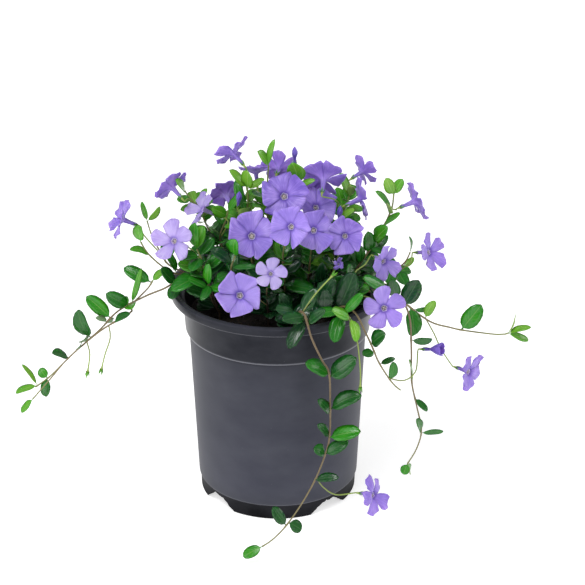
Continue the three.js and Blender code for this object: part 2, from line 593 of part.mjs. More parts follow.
function flowerSolid(parts) {
  const { open, face, radius, turn, form, tube } = parts;
  const [side, up] = squareTo(face);
  const { rise, spread } = form === "shut" ? SHUT : OPEN;
  const at = (degrees, r, height) => {
    const angle = ((turn + degrees) * Math.PI) / 180;
    return open.clone().addScaledVector(side, r * Math.cos(angle))
      .addScaledVector(up, r * Math.sin(angle)).addScaledVector(face, height);
  };
  const bend = (share, degrees) => radius * share
    * (rise + LOPSIDED * Math.sin((degrees * Math.PI) / HALF_PETAL));
  const petals = [0, 1, 2, 3, 4].map((i) => i * PETAL_PITCH);
  const limbRing = (offset) => petals.flatMap((p) => [-HALF_PETAL, 0].map((d) =>
    at(p + d, spread * LIMB_START * radius, bend(LIMB_START, d) + offset)));
  const points = [];
  const add = (list) => points.push(...list) - list.length;
  const foot = add(petals.map((p) => at(p - HALF_PETAL, TUBE_ENDS[0], CLEARANCE - tube)));
  const under = add(petals.map((p) => at(p - HALF_PETAL, TUBE_ENDS[1], TUBE_TOP)));
  const ringBelow = add(limbRing(-LIMB_HALF));
  const outline = add(petals.flatMap((p) => PETAL[form].map(([d, share]) =>
    at(p + d, spread * share * radius, bend(share, d)))));
  const ringAbove = add(limbRing(LIMB_HALF));
  const throat = add([at(0, 0, -THROAT_DEPTH)]);
  const triangles = [[foot, foot + 2, foot + 1], [foot, foot + 3, foot + 2], [foot, foot + 4, foot + 3]];
  for (let i = 0; i < 5; i++) {
    const j = (i + 1) % 5;
    const limbFace = (ring) => {
      const [b, c, bn] = [ring + 2 * i, ring + 2 * i + 1, ring + 2 * j];
      const [n, p, q, r, s, nn] = [0, 1, 2, 3, 4].map((k) => outline + 5 * i + k).concat(outline + 5 * j);
      return [[b, n, p], [b, p, c], [c, p, q], [c, q, r], [c, r, s], [c, s, bn], [bn, s, nn]];
    };
    const [b, c, bn] = [ringBelow + 2 * i, ringBelow + 2 * i + 1, ringBelow + 2 * j];
    const [d, e, dn] = [ringAbove + 2 * i, ringAbove + 2 * i + 1, ringAbove + 2 * j];
    triangles.push([foot + i, foot + j, under + j], [foot + i, under + j, under + i]);
    triangles.push([under + i, c, b], [under + i, under + j, c], [under + j, bn, c]);
    triangles.push(...limbFace(ringBelow).map(([p, q, r]) => [p, r, q]));
    triangles.push(...limbFace(ringAbove), [throat, d, e], [throat, e, dn]);
  }
  return closedSolid(points, triangles);
}

// A bud: the petals rolled into a spindle, as [share of its length, radius].
const BUD_PROFILE = [[0.03, 0.9], [0.35, 1.1], [0.62, 2], [0.85, 1.2], [1, 0.3]];

function budSolid({ calyx, face, length }) {
  const [side, up] = squareTo(face);
  return tubeSolid(BUD_PROFILE.map(([share, radius]) => ringAbout(
    calyx.clone().addScaledVector(face, share * length), side, up, radius, 5)));
}

// Canes: their centre lines, then their tubes, which flare into a calyx under a flower.
function layCane(spec, canes) {
  const start = spec.root
    ? new THREE.Vector3(spec.root[0], spec.root[1], NECK)
    : along(canes[spec.on].line, spec.from).at;
  const points = [start, ...spec.path.map(vec)];
  const top = spec.flower ? flowerParts(FLOWERS[spec.flower]) : spec.bud && budParts(BUDS[spec.bud]);
  if (top) points.push(top.calyx.clone().addScaledVector(top.face, -CALYX_LENGTH - 1), top.calyx);
  const line = smoothLine(points);
  if (spec.root) line.unshift(new THREE.Vector3(spec.root[0], spec.root[1], ROOT_DEPTH));
  const stalk = top || spec.spent;
  return { ...spec, line, radius: stalk ? STALK_RADIUS : spec.root ? MAIN_RADIUS : SIDE_RADIUS, stalk };
}

function caneSolid({ line, radius, stalk }) {
  let side = squareTo(line[1].clone().sub(line[0]).normalize())[0];
  const ends = line.length - 1;
  const rings = line.map((at, i) => {
    const ahead = line[Math.min(i + 1, ends)].clone().sub(line[Math.max(i - 1, 0)]).normalize();
    side = side.clone().addScaledVector(ahead, -side.dot(ahead)).normalize();
    const taper = 1 - (CANE_TAPER * i) / ends;
    const wide = stalk ? (i === ends ? CALYX_RADIUS : radius) : radius * taper;
    return ringAbout(at, side, ahead.clone().cross(side), wide, CANE_SIDES);
  });
  return tubeSolid(rings);
}

// A leaf: a short stalk and an elliptic blade, folded a little along its midrib, thickest there.
const LEAF_OUTLINE = [[0.24, 0.44], [0.7, 0.5]]; // share of length, share of width
const LEAF_STALK = [0.35, 0.3]; // half its width and height
const LEAF_ARCH = 0.2; // how far a leaf arches, against its length
const LEAF_FOLD = 0.24; // how far its rims are folded up, against its width
const LEAF_MIDDLE = 0.46; // where it is thickest

function leafFrame({ base, tip, turn }) {
  const ahead = tip.clone().sub(base).normalize();
  const light = new THREE.Vector3(base.x * 0.004, -0.45 + base.y * 0.004, 1);
  const face = light.addScaledVector(ahead, -light.dot(ahead)).normalize();
  face.applyAxisAngle(ahead, (turn * Math.PI) / 180);
  return { ahead, face, side: ahead.clone().cross(face) };
}

function leafSolid(leaf) {
  const { ahead, face, side } = leafFrame(leaf);
  const length = leaf.base.distanceTo(leaf.tip);
  const at = (share, across, height) => leaf.base.clone().addScaledVector(ahead, share * length)
    .addScaledVector(side, across)
    .addScaledVector(face, height + LEAF_ARCH * length * share * (1 - share));
  const rim = (sign) => LEAF_OUTLINE.map(([u, v]) =>
    at(u, sign * v * leaf.width, LEAF_FOLD * v * leaf.width));
  const [wide, high] = LEAF_STALK;
  const edge = [at(0, wide, 0), ...rim(1), at(1, 0, 0), ...rim(-1).reverse(), at(0, -wide, 0)];
  const ribs = [at(0, 0, high), at(0, 0, -high), at(LEAF_MIDDLE, 0, 0.45 * BLADE),
    at(LEAF_MIDDLE, 0, -0.55 * BLADE)];
  const last = edge.length - 1;
  const [rootAbove, rootBelow, above, below] = [1, 2, 3, 4].map((i) => last + i);
  const triangles = [[0, rootAbove, last], [0, last, rootBelow], [rootAbove, 0, above],
    [last, rootAbove, above], [0, rootBelow, below], [rootBelow, last, below]];
  for (let i = 0; i < last; i++)
    triangles.push([i, i + 1, above], [i + 1, i, below]);
  return closedSolid([...edge, ...ribs], triangles);
}

// Guard points: what is already placed, as balls, each with the piece it belongs to.
const guards = [];
function guard(owner, balls, cane) {
  balls.forEach(([at, radius]) => guards.push({ owner, cane, at, radius }));
}

// Whether a ball reaches the pot's wall or lip, the soil or the surface below.
const INSIDE = 61; // radius of the room inside the collar
const TAPER = 5.6; // how much wider the wall is at the collar than at the foot
const LIP_REACH = 3; // height below the rim in which its underside can be met

function meetsPot(at, radius) {
  const out = Math.hypot(at.x, at.y);
  if (at.z < radius + LEAF_GAP) return true;
  if (at.z > POT_HEIGHT + radius + LEAF_GAP) return false;
  if (out < INSIDE + 2) return at.z < SOIL_TOP + 0.5 * radius || out + radius > INSIDE;
  const body = at.z > COLLAR - 1 ? COLLAR_TOP + 0.2 : WALL_FOOT + (at.z / COLLAR) * TAPER;
  const wall = at.z > RIM_UNDER - LIP_REACH ? RIM_RADIUS : body;
  return out < wall + radius + LEAF_GAP;
}

// The balls that stand for a leaf: three across it in each of five rows.
const LEAF_BALL = 1.3; // their radius
const LEAF_ROWS = [[0.3, 0.36], [0.46, 0.46], [0.62, 0.46], [0.78, 0.36], [0.94, 0.1]];
const ROW_PLACES = [-0.7, 0, 0.7];

function leafBalls(leaf) {
  const { ahead, side } = leafFrame(leaf);
  const length = leaf.base.distanceTo(leaf.tip);
  return LEAF_ROWS.flatMap(([share, half]) => ROW_PLACES.map((across) => [
    leaf.base.clone().addScaledVector(ahead, share * length)
      .addScaledVector(side, across * half * leaf.width), LEAF_BALL]));
}

function isClear(leaf, balls) {
  const isFree = (g, at, radius) => g.cane === leaf.cane
    || g.at.distanceTo(at) > g.radius + radius + (g.owner === leaf.stem ? FUSED_GAP : LEAF_GAP);
  return balls.every(([at, radius]) => !meetsPot(at, radius)
    && guards.every((g) => isFree(g, at, radius)));
}

// A leaf is turned about its stem, then shortened, until it is clear. One that never is, is left out.
const TURNS = [0, 14, -14, 28, -28, 44, -44];
const SHORTER = [1, 0.82, 0.66];
const LEAF_START = 0.15; // how far from its cane's line a leaf starts

function placeLeaf(stem, cane, share, aim, width, turn) {
  const { at, ahead } = along(cane.line, share);
  for (const short of SHORTER)
    for (const degrees of TURNS) {
      const reach = aim.clone().sub(at).applyAxisAngle(ahead, (degrees * Math.PI) / 180);
      const base = at.clone().addScaledVector(reach.clone().normalize(), LEAF_START);
      const leaf = { stem, cane, base, tip: at.clone().addScaledVector(reach, short),
        width: width * short, turn };
      const balls = leafBalls(leaf);
      if (isClear(leaf, balls)) {
        guard(stem, balls);
        return leaf;
      }
    }
  return null;
}

// A pair of leaves stands opposite each other, and each next pair is turned a quarter.
const PAIR_STRAY = 20; // degrees over which a leaf's direction varies
const PAIR_SIZES = [0.82, 0.34]; // least size, and how much more a leaf can have
const PAIR_LEAN = 0.42; // how far a leaf leans along its cane
const PAIR_LIFT = 0.12;
const PAIR_WIDTH = 0.52; // width against length

function pairLeaves(stem, cane) {
  const [first, last, number, length, turn] = cane.pairs;
  const leaves = [];
  for (let k = 0; k < number; k++) {
    const share = number > 1 ? first + ((last - first) * k) / (number - 1) : first;
    const { at, ahead } = along(cane.line, share);
    const [side, up] = squareTo(ahead);
    for (const half of [0, 180]) {
      const angle = ((turn + 90 * k + half + PAIR_STRAY * (draw() - 0.5)) * Math.PI) / 180;
      const size = length * (PAIR_SIZES[0] + PAIR_SIZES[1] * draw());
      const out = side.clone().multiplyScalar(Math.cos(angle)).addScaledVector(up, Math.sin(angle));
      const reach = out.addScaledVector(ahead, PAIR_LEAN).add(new THREE.Vector3(0, 0, PAIR_LIFT));
      const aim = at.clone().addScaledVector(reach.normalize(), size);
      leaves.push(placeLeaf(stem, cane, share, aim, PAIR_WIDTH * size, 0));
    }
  }
  return leaves;
}

// The balls that stand for a flower, a bud and a cane.
const TUBE_BALL = 1.8;
const PETAL_BALL = 1.5;
const BUD_BALL = 2;
const CANE_MARGIN = 0.4; // how much wider than itself a cane's balls are
const CANE_BALLS = 41;
const PETAL_ROWS = [[0.3, 5], [0.62, 10], [0.9, 15]]; // share of the radius, number of balls
const SHUT_SPREAD = 0.6;

function flowerBalls({ calyx, open, face, radius, form }) {
  const [side, up] = squareTo(face);
  const middle = open.clone().addScaledVector(face, OPEN.rise * radius);
  const spread = form === "shut" ? SHUT_SPREAD : 1;
  const tube = [0.2, 0.5, 0.8].map((t) => [mix(calyx, open, t), TUBE_BALL]);
  const petals = PETAL_ROWS.flatMap(([share, count]) =>
    ringAbout(middle, side, up, spread * share * radius, count).map((at) => [at, PETAL_BALL]));
  return [...tube, ...petals];
}

function budBalls({ calyx, face, length }) {
  return [0.2, 0.45, 0.7, 0.95].map((t) => [calyx.clone().addScaledVector(face, t * length), BUD_BALL]);
}

function caneBalls({ line, radius }) {
  return Array.from({ length: CANE_BALLS }, (_, i) =>
    [along(line, i / (CANE_BALLS - 1)).at, radius + CANE_MARGIN]);
}

function layPlant() {
  const flowers = Object.entries(FLOWERS).map(([name, row]) => ({ name, ...flowerParts(row) }));
  const buds = Object.entries(BUDS).map(([name, row]) => ({ name, ...budParts(row) }));
  for (const flower of flowers) guard(flower.name, flowerBalls(flower));
  for (const bud of buds) guard(bud.name, budBalls(bud));
  const stems = Object.entries(STEMS).map(([name, specs]) => {
    const canes = [];
    for (const spec of specs) canes.push(layCane(spec, canes));
    for (const cane of canes) guard(name, caneBalls(cane), cane);
    return { name, canes, leaves: [] };
  });
  for (const stem of stems)
    for (const cane of stem.canes)
      for (const [share, tip, width, turn = 0] of cane.leaves ?? [])
        stem.leaves.push(placeLeaf(stem.name, cane, share, vec(tip), width, turn));
  for (const stem of stems)
    for (const cane of stem.canes)
      if (cane.pairs) stem.leaves.push(...pairLeaves(stem.name, cane));
  for (const stem of stems) stem.leaves = stem.leaves.filter(Boolean);
  return { flowers, buds, stems };
}

// The assembly.
const MATERIALS = {
  pot: new THREE.MeshStandardMaterial({ color: 0x2b2c30, roughness: 0.5, metalness: 0 }),
  soil: new THREE.MeshStandardMaterial({ color: 0x1c1613, roughness: 1, metalness: 0 }),
  green: new THREE.MeshStandardMaterial({ color: 0x2f7420, roughness: 0.4, metalness: 0 }),
  violet: new THREE.MeshStandardMaterial({ color: 0x8e74dc, roughness: 0.6, metalness: 0 }),
};

const plant = layPlant();
const pot = new THREE.Group();
pot.add(meshOf("pot", potSolid(), MATERIALS.pot));
pot.add(meshOf("soil", soilSolid(plant.stems.flatMap((s) => s.canes)), MATERIALS.soil));

const foliage = new THREE.Group();
for (const { name, canes, leaves } of plant.stems) {
  const solids = [...canes.map(caneSolid), ...leaves.map(leafSolid)];
  foliage.add(meshOf(name, solids.reduce((all, next) => all.add(next)), MATERIALS.green));
}

const blooms = new THREE.Group();
for (const flower of plant.flowers)
  blooms.add(meshOf(`flower_${flower.name}`, flowerSolid(flower), MATERIALS.violet));
for (const bud of plant.buds) blooms.add(meshOf(bud.name, budSolid(bud), MATERIALS.violet));

const periwinkle = new THREE.Group();
periwinkle.name = "potted_periwinkle";
periwinkle.add(pot, foliage, blooms);
export default periwinkle;
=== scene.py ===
# A lesser periwinkle in bloom in a charcoal nursery pot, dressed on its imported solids. Metres,
# +Z up, the pot's foot on z = 0 and -Y the front. Sizes in the sections below are millimetres.
import math

import bpy
import numpy as np
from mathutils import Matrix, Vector


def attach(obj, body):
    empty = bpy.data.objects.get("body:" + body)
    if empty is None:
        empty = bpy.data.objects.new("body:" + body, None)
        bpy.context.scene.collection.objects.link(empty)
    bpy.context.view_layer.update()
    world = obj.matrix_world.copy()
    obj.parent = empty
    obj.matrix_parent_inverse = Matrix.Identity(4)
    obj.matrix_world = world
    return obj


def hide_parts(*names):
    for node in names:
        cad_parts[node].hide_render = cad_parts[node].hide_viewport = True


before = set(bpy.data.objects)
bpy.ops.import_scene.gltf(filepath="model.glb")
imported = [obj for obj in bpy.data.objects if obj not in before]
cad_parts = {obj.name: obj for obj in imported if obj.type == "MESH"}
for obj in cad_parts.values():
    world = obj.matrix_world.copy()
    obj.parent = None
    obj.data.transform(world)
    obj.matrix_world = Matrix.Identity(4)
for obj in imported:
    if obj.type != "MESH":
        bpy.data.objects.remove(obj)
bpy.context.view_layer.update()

MM = 0.001


# The pot: moulded polypropylene, charcoal, with a soft sheen. A thin tapered shell with a
# turned-out lip, a collar that keeps stacked pots apart, and a foot with four drain notches.
# It is bare outside, and its foot is painted near black as painted shade, where little light reaches
# it.
POT_SIDES = 144
POT_STATIONS = [
    (0.01, 0.0), (11.6, 0.0), (12.2, 0.5), (13.0, 5.8), (48.6, 6.0), (50.0, 0.5), (50.5, 0.0),
    (55.4, 0.0), (56.1, 0.5), (56.5, 10.6), (56.6, 11.2), (57.0, 11.5), (57.3, 11.9),
    (57.5, 12.6), (57.6, 14.2), (60.0, 69.0), (62.4, 124.6), (62.7, 125.6), (63.5, 126.0),
    (64.6, 126.4), (65.0, 127.2), (65.2, 129.0), (66.7, 150.2), (67.0, 151.6), (67.8, 152.1),
    (73.9, 152.3), (74.7, 152.7), (75.0, 153.6), (75.0, 157.2), (74.7, 158.2), (73.9, 158.6),
    (71.6, 158.6), (70.8, 158.2), (70.3, 157.2), (67.4, 152.6), (65.2, 150.8), (61.4, 127.2),
    (61.1, 125.4), (54.4, 9.4), (53.4, 8.2), (0.01, 8.0),
]
FEET = 4
FRONT_FOOT = -math.pi / 2 - 0.08  # the foot in front is turned a little to the left
NOTCH_HEIGHT = 8.6
NOTCH_BELOW = 2  # how far a notch's cutter reaches below the surface
NOTCH_BOTTOM = 36  # width of the cutter at its lower end
NOTCH_TOP = 0.3  # its width at its upper end, against that
NOTCH_MIDDLE, NOTCH_REACH = 53, 15  # the radius that it stands on and how long it is along it
NOTCH_CUTS = 6  # points between its corners, which are moved to make it ragged
RAGGED_SIDES, RAGGED_TOP = 0.8, 1.1


def linear(text):
    """The linear colour of an sRGB hex value."""
    shares = [int(text[i:i + 2], 16) / 255 for i in (1, 3, 5)]
    return [s / 12.92 if s <= 0.04045 else ((s + 0.055) / 1.055) ** 2.4 for s in shares] + [1.0]


def add_node(tree, kind, settings=None, **links):
    """Adds a shader node, sets its properties and links or sets its inputs by name or number."""
    node = tree.nodes.new("ShaderNode" + kind)
    for name, value in (settings or {}).items():
        setattr(node, name, value)
    for name, value in links.items():
        key = int(name[1:]) if name[0] == "_" and name[1:].isdigit() else name.replace("_", " ")
        if isinstance(value, bpy.types.NodeSocket):
            tree.links.new(value, node.inputs[key])
        else:
            node.inputs[key].default_value = value
    return node


def new_material(name, **shader):
    """A material with a Principled shader, which is returned with its tree."""
    material = bpy.data.materials.new(name)
    material.use_nodes = True
    tree = material.node_tree
    principled = tree.nodes["Principled BSDF"]
    for key, value in shader.items():
        principled.inputs[key.replace("_", " ")].default_value = value
    return material, tree, principled


def ramp(tree, factor, *stops):
    """A colour ramp through (place, hex colour) stops."""
    node = add_node(tree, "ValToRGB", Fac=factor)
    elements = node.color_ramp.elements
    while len(elements) < len(stops):
        elements.new(0.5)
    for element, (place, colour) in zip(elements, stops):
        element.position = place
        element.color = linear(colour)
    return node.outputs["Color"]


POLE_GAP = 0.03  # width under which a ring is closed to a point
EDGE_ANGLE = 35  # degrees over which an edge is drawn sharp


def turned_piece(name, stations, sides):
    """A closed round piece, drawn from ring to ring through (radius, height) stations."""
    bpy.ops.object.select_all(action="DESELECT")
    radius, height = stations[0]
    bpy.ops.mesh.primitive_circle_add(vertices=sides, radius=radius * MM)
    piece = bpy.context.object
    piece.name = name
    bpy.ops.object.mode_set(mode="EDIT")
    bpy.ops.mesh.select_all(action="SELECT")
    bpy.ops.transform.translate(value=(0, 0, height * MM))
    for next_radius, next_height in stations[1:]:
        rise = (0, 0, (next_height - height) * MM)
        bpy.ops.mesh.extrude_edges_move(TRANSFORM_OT_translate={"value": rise})
        grow = next_radius / radius
        bpy.ops.transform.resize(value=(grow, grow, 1), center_override=(0, 0, 0))
        radius, height = next_radius, next_height
    bpy.ops.mesh.select_all(action="SELECT")
    bpy.ops.mesh.remove_doubles(threshold=POLE_GAP * MM)
    bpy.ops.mesh.normals_make_consistent(inside=False)
    bpy.ops.object.mode_set(mode="OBJECT")
    bpy.ops.object.shade_smooth_by_angle(angle=math.radians(EDGE_ANGLE))
    return piece


def join_pieces(pieces, name):
    """Joins pieces into the first one and names it."""
    bpy.ops.object.select_all(action="DESELECT")
    for piece in pieces:
        piece.select_set(True)
    bpy.context.view_layer.objects.active = pieces[0]
    bpy.ops.object.join()
    pieces[0].name = name
    pieces[0].data.name = name
    return pieces[0]


pot = turned_piece("pot_shell", POT_STATIONS, POT_SIDES)
cutters = []
for foot in range(FEET):
    angle = FRONT_FOOT + (foot + 0.5) * 2 * math.pi / FEET
    place = (NOTCH_MIDDLE * MM * math.cos(angle), NOTCH_MIDDLE * MM * math.sin(angle),
             (NOTCH_HEIGHT - NOTCH_BELOW) / 2 * MM)
    size = (NOTCH_REACH * MM, NOTCH_BOTTOM * MM, (NOTCH_HEIGHT + NOTCH_BELOW) * MM)
    bpy.ops.mesh.primitive_cube_add(size=1, location=place, rotation=(0, 0, angle), scale=size)
    cutter = bpy.context.object
    for corner in cutter.data.vertices:
        if corner.co.z > 0:
            corner.co.y *= NOTCH_TOP
    cutters.append(cutter)
notches = join_pieces(cutters, "notches")
bpy.ops.object.mode_set(mode="EDIT")
bpy.ops.mesh.select_all(action="SELECT")
bpy.ops.mesh.subdivide(number_cuts=NOTCH_CUTS)
bpy.ops.object.mode_set(mode="OBJECT")
ragged = np.random.default_rng(5)
just_below_top = max(corner.co.z for corner in notches.data.vertices) - 0.1 * MM
for corner in notches.data.vertices:
    corner.co.x += ragged.uniform(-RAGGED_SIDES, RAGGED_SIDES) * MM
    corner.co.y += ragged.uniform(-RAGGED_SIDES, RAGGED_SIDES) * MM
    if corner.co.z > just_below_top:
        corner.co.z += ragged.uniform(-RAGGED_TOP, RAGGED_TOP) * MM
bpy.context.view_layer.objects.active = pot
cut = pot.modifiers.new("drain notches", "BOOLEAN")
cut.object = notches
bpy.ops.object.modifier_apply(modifier=cut.name)
bpy.data.objects.remove(notches)

# Moulded plastic: a frosted charcoal wall between a collar and foot that are darker and glossier.
# The collar's and lip's darker colour is partly painted shade from the lip and leaves above them, and
# the foot's near black is painted shade. Thin pale bands at the foot's ledge, the collar's lower edge
# and under the lip are painted highlights. Scuffs rub the wall paler here and there, and there is fine
# dust and the faint unevenness of a thin wall. The ramps run from the surface, at 0, to 160 mm above
# it, at 1.
plastic, tree, shader = new_material("polypropylene_charcoal", IOR=1.49, Specular_IOR_Level=0.35)
place = add_node(tree, "TexCoord").outputs["Object"]
scuffs = add_node(tree, "Mapping", Vector=place, Scale=(0.7, 0.7, 1.2)).outputs["Vector"]
rubbed = add_node(tree, "TexNoise", Vector=scuffs, Scale=60.0, Detail=6.0).outputs["Fac"]
dust = add_node(tree, "TexNoise", Vector=place, Scale=420.0, Detail=3.0).outputs["Fac"]
specks = add_node(tree, "TexVoronoi", Vector=place, Scale=260.0).outputs["Distance"]
stir = add_node(tree, "Math", {"operation": "MULTIPLY_ADD"}, _0=dust, _1=0.5 * MM,
                _2=add_node(tree, "SeparateXYZ", Vector=place).outputs["Z"]).outputs[0]
high = add_node(tree, "MapRange", Value=stir, _1=0.0, _2=160 * MM).outputs["Result"]
# Painted light in this ramp: a near black foot as painted shade, pale bands near 12, 126 to 127 and 152
# mm as painted highlights, and a darker collar and lip, partly painted shade.
tone_shade_and_highlights = ramp(tree, high, (0.0, "#0b0b0c"), (0.07, "#101012"), (0.0745, "#5b5c63"),
             (0.079, "#2c2d34"), (0.15, "#31323b"), (0.775, "#2a2b32"), (0.7855, "#1e1f24"),
             (0.789, "#6a6b72"), (0.795, "#6a6b72"), (0.801, "#15161a"), (0.944, "#131418"),
             (0.951, "#7c7d84"), (0.96, "#111216"), (0.985, "#14151a"), (0.9925, "#2c2d34"))
faded = add_node(tree, "MapRange", Value=rubbed, _1=0.3, _2=0.75, _3=0.0, _4=0.1).outputs["Result"]
base = add_node(tree, "Mix", {"data_type": "RGBA"}, _0=faded, _6=tone_shade_and_highlights, _7=linear("#77787f"))
speck = add_node(tree, "MapRange", Value=specks, _1=0.05, _2=0.12, _3=0.5, _4=0.0).outputs["Result"]
thin = add_node(tree, "MapRange", Value=dust, _1=0.55, _2=0.75, _3=0.0, _4=1.0).outputs["Result"]
share = add_node(tree, "Math", {"operation": "MULTIPLY"}, _0=speck, _1=thin).outputs["Value"]
dusty = add_node(tree, "Mix", {"data_type": "RGBA"}, _0=share, _6=base.outputs[2],
                 _7=linear("#6e7077"))
tree.links.new(dusty.outputs[2], shader.inputs["Base Color"])
shine = ramp(tree, high, (0.0, "#303030"), (0.07, "#565656"), (0.08, "#a8a8a8"), (0.7, "#9a9a9a"),
             (0.785, "#808080"), (0.792, "#747474"), (1.0, "#7c7c7c"))
tree.links.new(shine, shader.inputs["Specular IOR Level"])
shader.inputs["Specular Tint"].default_value = linear("#dfe3ff")
frost = ramp(tree, high, (0.0, "#d0d0d0"), (0.07, "#b8b8b8"), (0.08, "#b4b4b4"), (0.78, "#b4b4b4"),
             (0.792, "#8c8c8c"), (1.0, "#848484"))
gloss = add_node(tree, "Math", {"operation": "MULTIPLY_ADD"}, _0=rubbed, _1=0.1, _2=frost).outputs[0]
tree.links.new(gloss, shader.inputs["Roughness"])
wavy = add_node(tree, "TexNoise", Vector=place, Scale=35.0, Detail=2.0).outputs["Fac"]
waves = add_node(tree, "Bump", Height=wavy, Strength=0.25, Distance=0.4 * MM).outputs["Normal"]
skin = add_node(tree, "Bump", Height=dust, Strength=0.12, Distance=0.1 * MM, Normal=waves)
tree.links.new(skin.outputs["Normal"], shader.inputs["Normal"])
pot.data.materials.append(plastic)
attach(pot, "root")
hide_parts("pot")


# Potting soil: black peat, crumbly on top, a little lower at the wall than in the middle. Loose
# crumbs and a few fibres lie on it. It fills the pot with 0.3 mm to spare.
SOIL_SIDES = 96
SOIL_MIDDLE = 141.6  # height of the soil in the middle
SOIL_FALL = 5  # how much lower it is at the wall
SOIL_RADIUS = 62
SOIL_WALL = [(0.01, 8.3), (53.0, 8.5), (54.0, 9.6), (60.75, 125.4), (61.2, 127.4), (62.4, 135.5)]
HEAVES = ((9.0, 2.4), (3.0, 1.6))  # how wide the soil's lumps are and how far they rise
CRUMBS = 420


def soil_height(radius):
    """How high the soil stands at a radius."""
    return SOIL_MIDDLE - SOIL_FALL * (radius / SOIL_RADIUS) ** 4


soil_top = [(radius, soil_height(radius)) for radius in range(60, 0, -3)]
soil = turned_piece("soil_body", [*SOIL_WALL, *soil_top, (0.01, SOIL_MIDDLE)], SOIL_SIDES)
top = soil.vertex_groups.new(name="top")
inner = [v.index for v in soil.data.vertices if v.co.z > 133 * MM and v.co.xy.length < 61 * MM]
top.add(inner, 1.0, "REPLACE")
for size, lift in HEAVES:
    lumps = bpy.data.textures.new("lumps", "CLOUDS")
    lumps.noise_scale = size * MM
    heave = soil.modifiers.new("heave", "DISPLACE")
    heave.texture = lumps
    heave.texture_coords = "LOCAL"
    heave.direction = "Z"
    heave.strength = lift * MM
    heave.mid_level = 0.6
    heave.vertex_group = "top"
    bpy.context.view_layer.objects.active = soil
    bpy.ops.object.modifier_apply(modifier=heave.name)
crumb_draw = np.random.default_rng(7)
bpy.ops.object.select_all(action="DESELECT")
bpy.ops.mesh.primitive_ico_sphere_add(subdivisions=1, radius=1)
crumb = bpy.context.object
crumbs = []
for number in range(CRUMBS):
    reach = (SOIL_RADIUS - 2) * math.sqrt(crumb_draw.random())
    angle = 2 * math.pi * crumb_draw.random()
    piece = crumb.copy()
    piece.data = crumb.data.copy()
    size = MM * (0.5 + 1.6 * crumb_draw.random() ** 2)
    piece.scale = size * (0.7 + 0.6 * crumb_draw.random(3))
    piece.rotation_euler = 6.28 * crumb_draw.random(3)
    height = soil_height(reach) - 0.6
    piece.location = (reach * MM * math.cos(angle), reach * MM * math.sin(angle), height * MM)
    bpy.context.collection.objects.link(piece)
    crumbs.append(piece)
bpy.data.objects.remove(crumb)
soil = join_pieces([soil, *crumbs], "soil_body")

# Damp peat is nearly black, with browner fibres.
peat, tree, shader = new_material("peat_compost", Roughness=0.95)
place = add_node(tree, "TexCoord").outputs["Object"]
grain = add_node(tree, "TexNoise", Vector=place, Scale=500.0, Detail=6.0).outputs["Fac"]
tree.links.new(ramp(tree, grain, (0.35, "#0d0a09"), (0.6, "#241a14"), (0.75, "#43342a")),
               shader.inputs["Base Color"])
rough = add_node(tree, "Bump", Height=grain, Strength=0.8, Distance=0.8 * MM)
tree.links.new(rough.outputs["Normal"], shader.inputs["Normal"])
soil.data.materials.append(peat)
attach(soil, "root")
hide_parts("soil")


# Flowers: each has five petals joined into one limb round a throat, on a funnel-shaped tube.
# Petals are lopsided, cut off aslant like a ship's screw, thin, matt and softly veined.
# Each row is [middle, direction faced, petal radius, turn in degrees, form].
FLOWERS = {
    "left_far": [(-107, -5, 209), (-0.86, -0.2, 0.47), 15, 20, "narrow"],
    "left_back": [(-73, 10, 227), (-0.62, 0.6, 0.5), 14.5, 10, "broad"],
    "left_front": [(-71, -20, 199), (-0.42, -0.78, 0.46), 15.5, 40, "narrow"],
    "left_inner": [(-52, 1, 214), (-0.78, -0.3, 0.5), 13, 0, "narrow"],
    "top_left": [(-30, 10, 252), (-0.6, 0.56, 0.57), 14.5, 15, "narrow"],
    "top_middle": [(-15, 25, 232), (-0.1, 0.27, 0.96), 12, 30, "broad"],
    "top_back": [(1, 35, 231), (0.15, 0.99, 0.05), 13.5, 20, "narrow"],
    "middle_high": [(5, -15, 230), (0.05, -0.83, 0.55), 17.5, 32, "broad"],
    "middle_left": [(-17, -30, 207), (0, -0.86, 0.51), 17.5, 25, "broad"],
    "middle_front": [(9, -45, 220), (-0.35, -0.83, 0.44), 15.3, 30, "broad"],
    "middle_right": [(25, -28, 210), (0.1, -0.94, 0.32), 15.5, 20, "broad"],
    "middle_behind": [(27, 0, 216), (0.25, -0.67, 0.7), 15, 40, "broad"],
    "top_right": [(32, 10, 233), (0.1, 0.88, 0.46), 16.5, 54, "broad"],
    "right_high": [(60, 32, 230), (0.78, 0.52, 0.35), 12.5, 10, "narrow"],
    "right_side": [(58, 5, 220), (0.91, 0.28, 0.3), 15.8, 60, "narrow"],
    "right_inner": [(46, -26, 205), (-0.05, -0.93, 0.37), 14.2, 55, "broad"],
    "right_faded": [(42, -34, 188), (0.3, -0.69, 0.65), 7, 10, "narrow"],
    "right_tall": [(95, 5, 218), (0.88, 0.4, 0.22), 15, 30, "narrow"],
    "right_far": [(106, -5, 184), (0.8, -0.54, 0.25), 14.5, 20, "narrow"],
    "right_low": [(73, -33, 189), (0.61, -0.79, -0.02), 13.5, 35, "narrow"],
    "right_front": [(72, -60, 167), (0.05, -0.93, 0.37), 15.4, 29, "narrow"],
    "front_small": [(-4, -50, 188), (0.05, -0.86, 0.51), 11.4, 10, "narrow"],
    "front_large": [(-25, -52, 173), (-0.05, -0.86, 0.51), 16.5, 67, "broad"],
    "loop_shut": [(107, -35, 124), (0.89, -0.42, 0.2), 8, 0, "shut"],
    "runner_right": [(135, -25, 101), (0.76, -0.65, 0.02), 14.7, 50, "narrow"],
    "runner_front": [(67, -85, 37), (0.86, -0.48, 0.15), 14.4, 25, "narrow"],
    "back_left": [(-38, 54, 205), (-0.35, 0.8, 0.48), 15.5, 10, "broad"],
    "back_right": [(24, 64, 193), (0.2, 0.86, 0.46), 15, 40, "narrow"],
}
PALE = ("left_front", "front_small", "left_inner")
DEEP = ("loop_shut",)
WILTED = ("right_faded",)
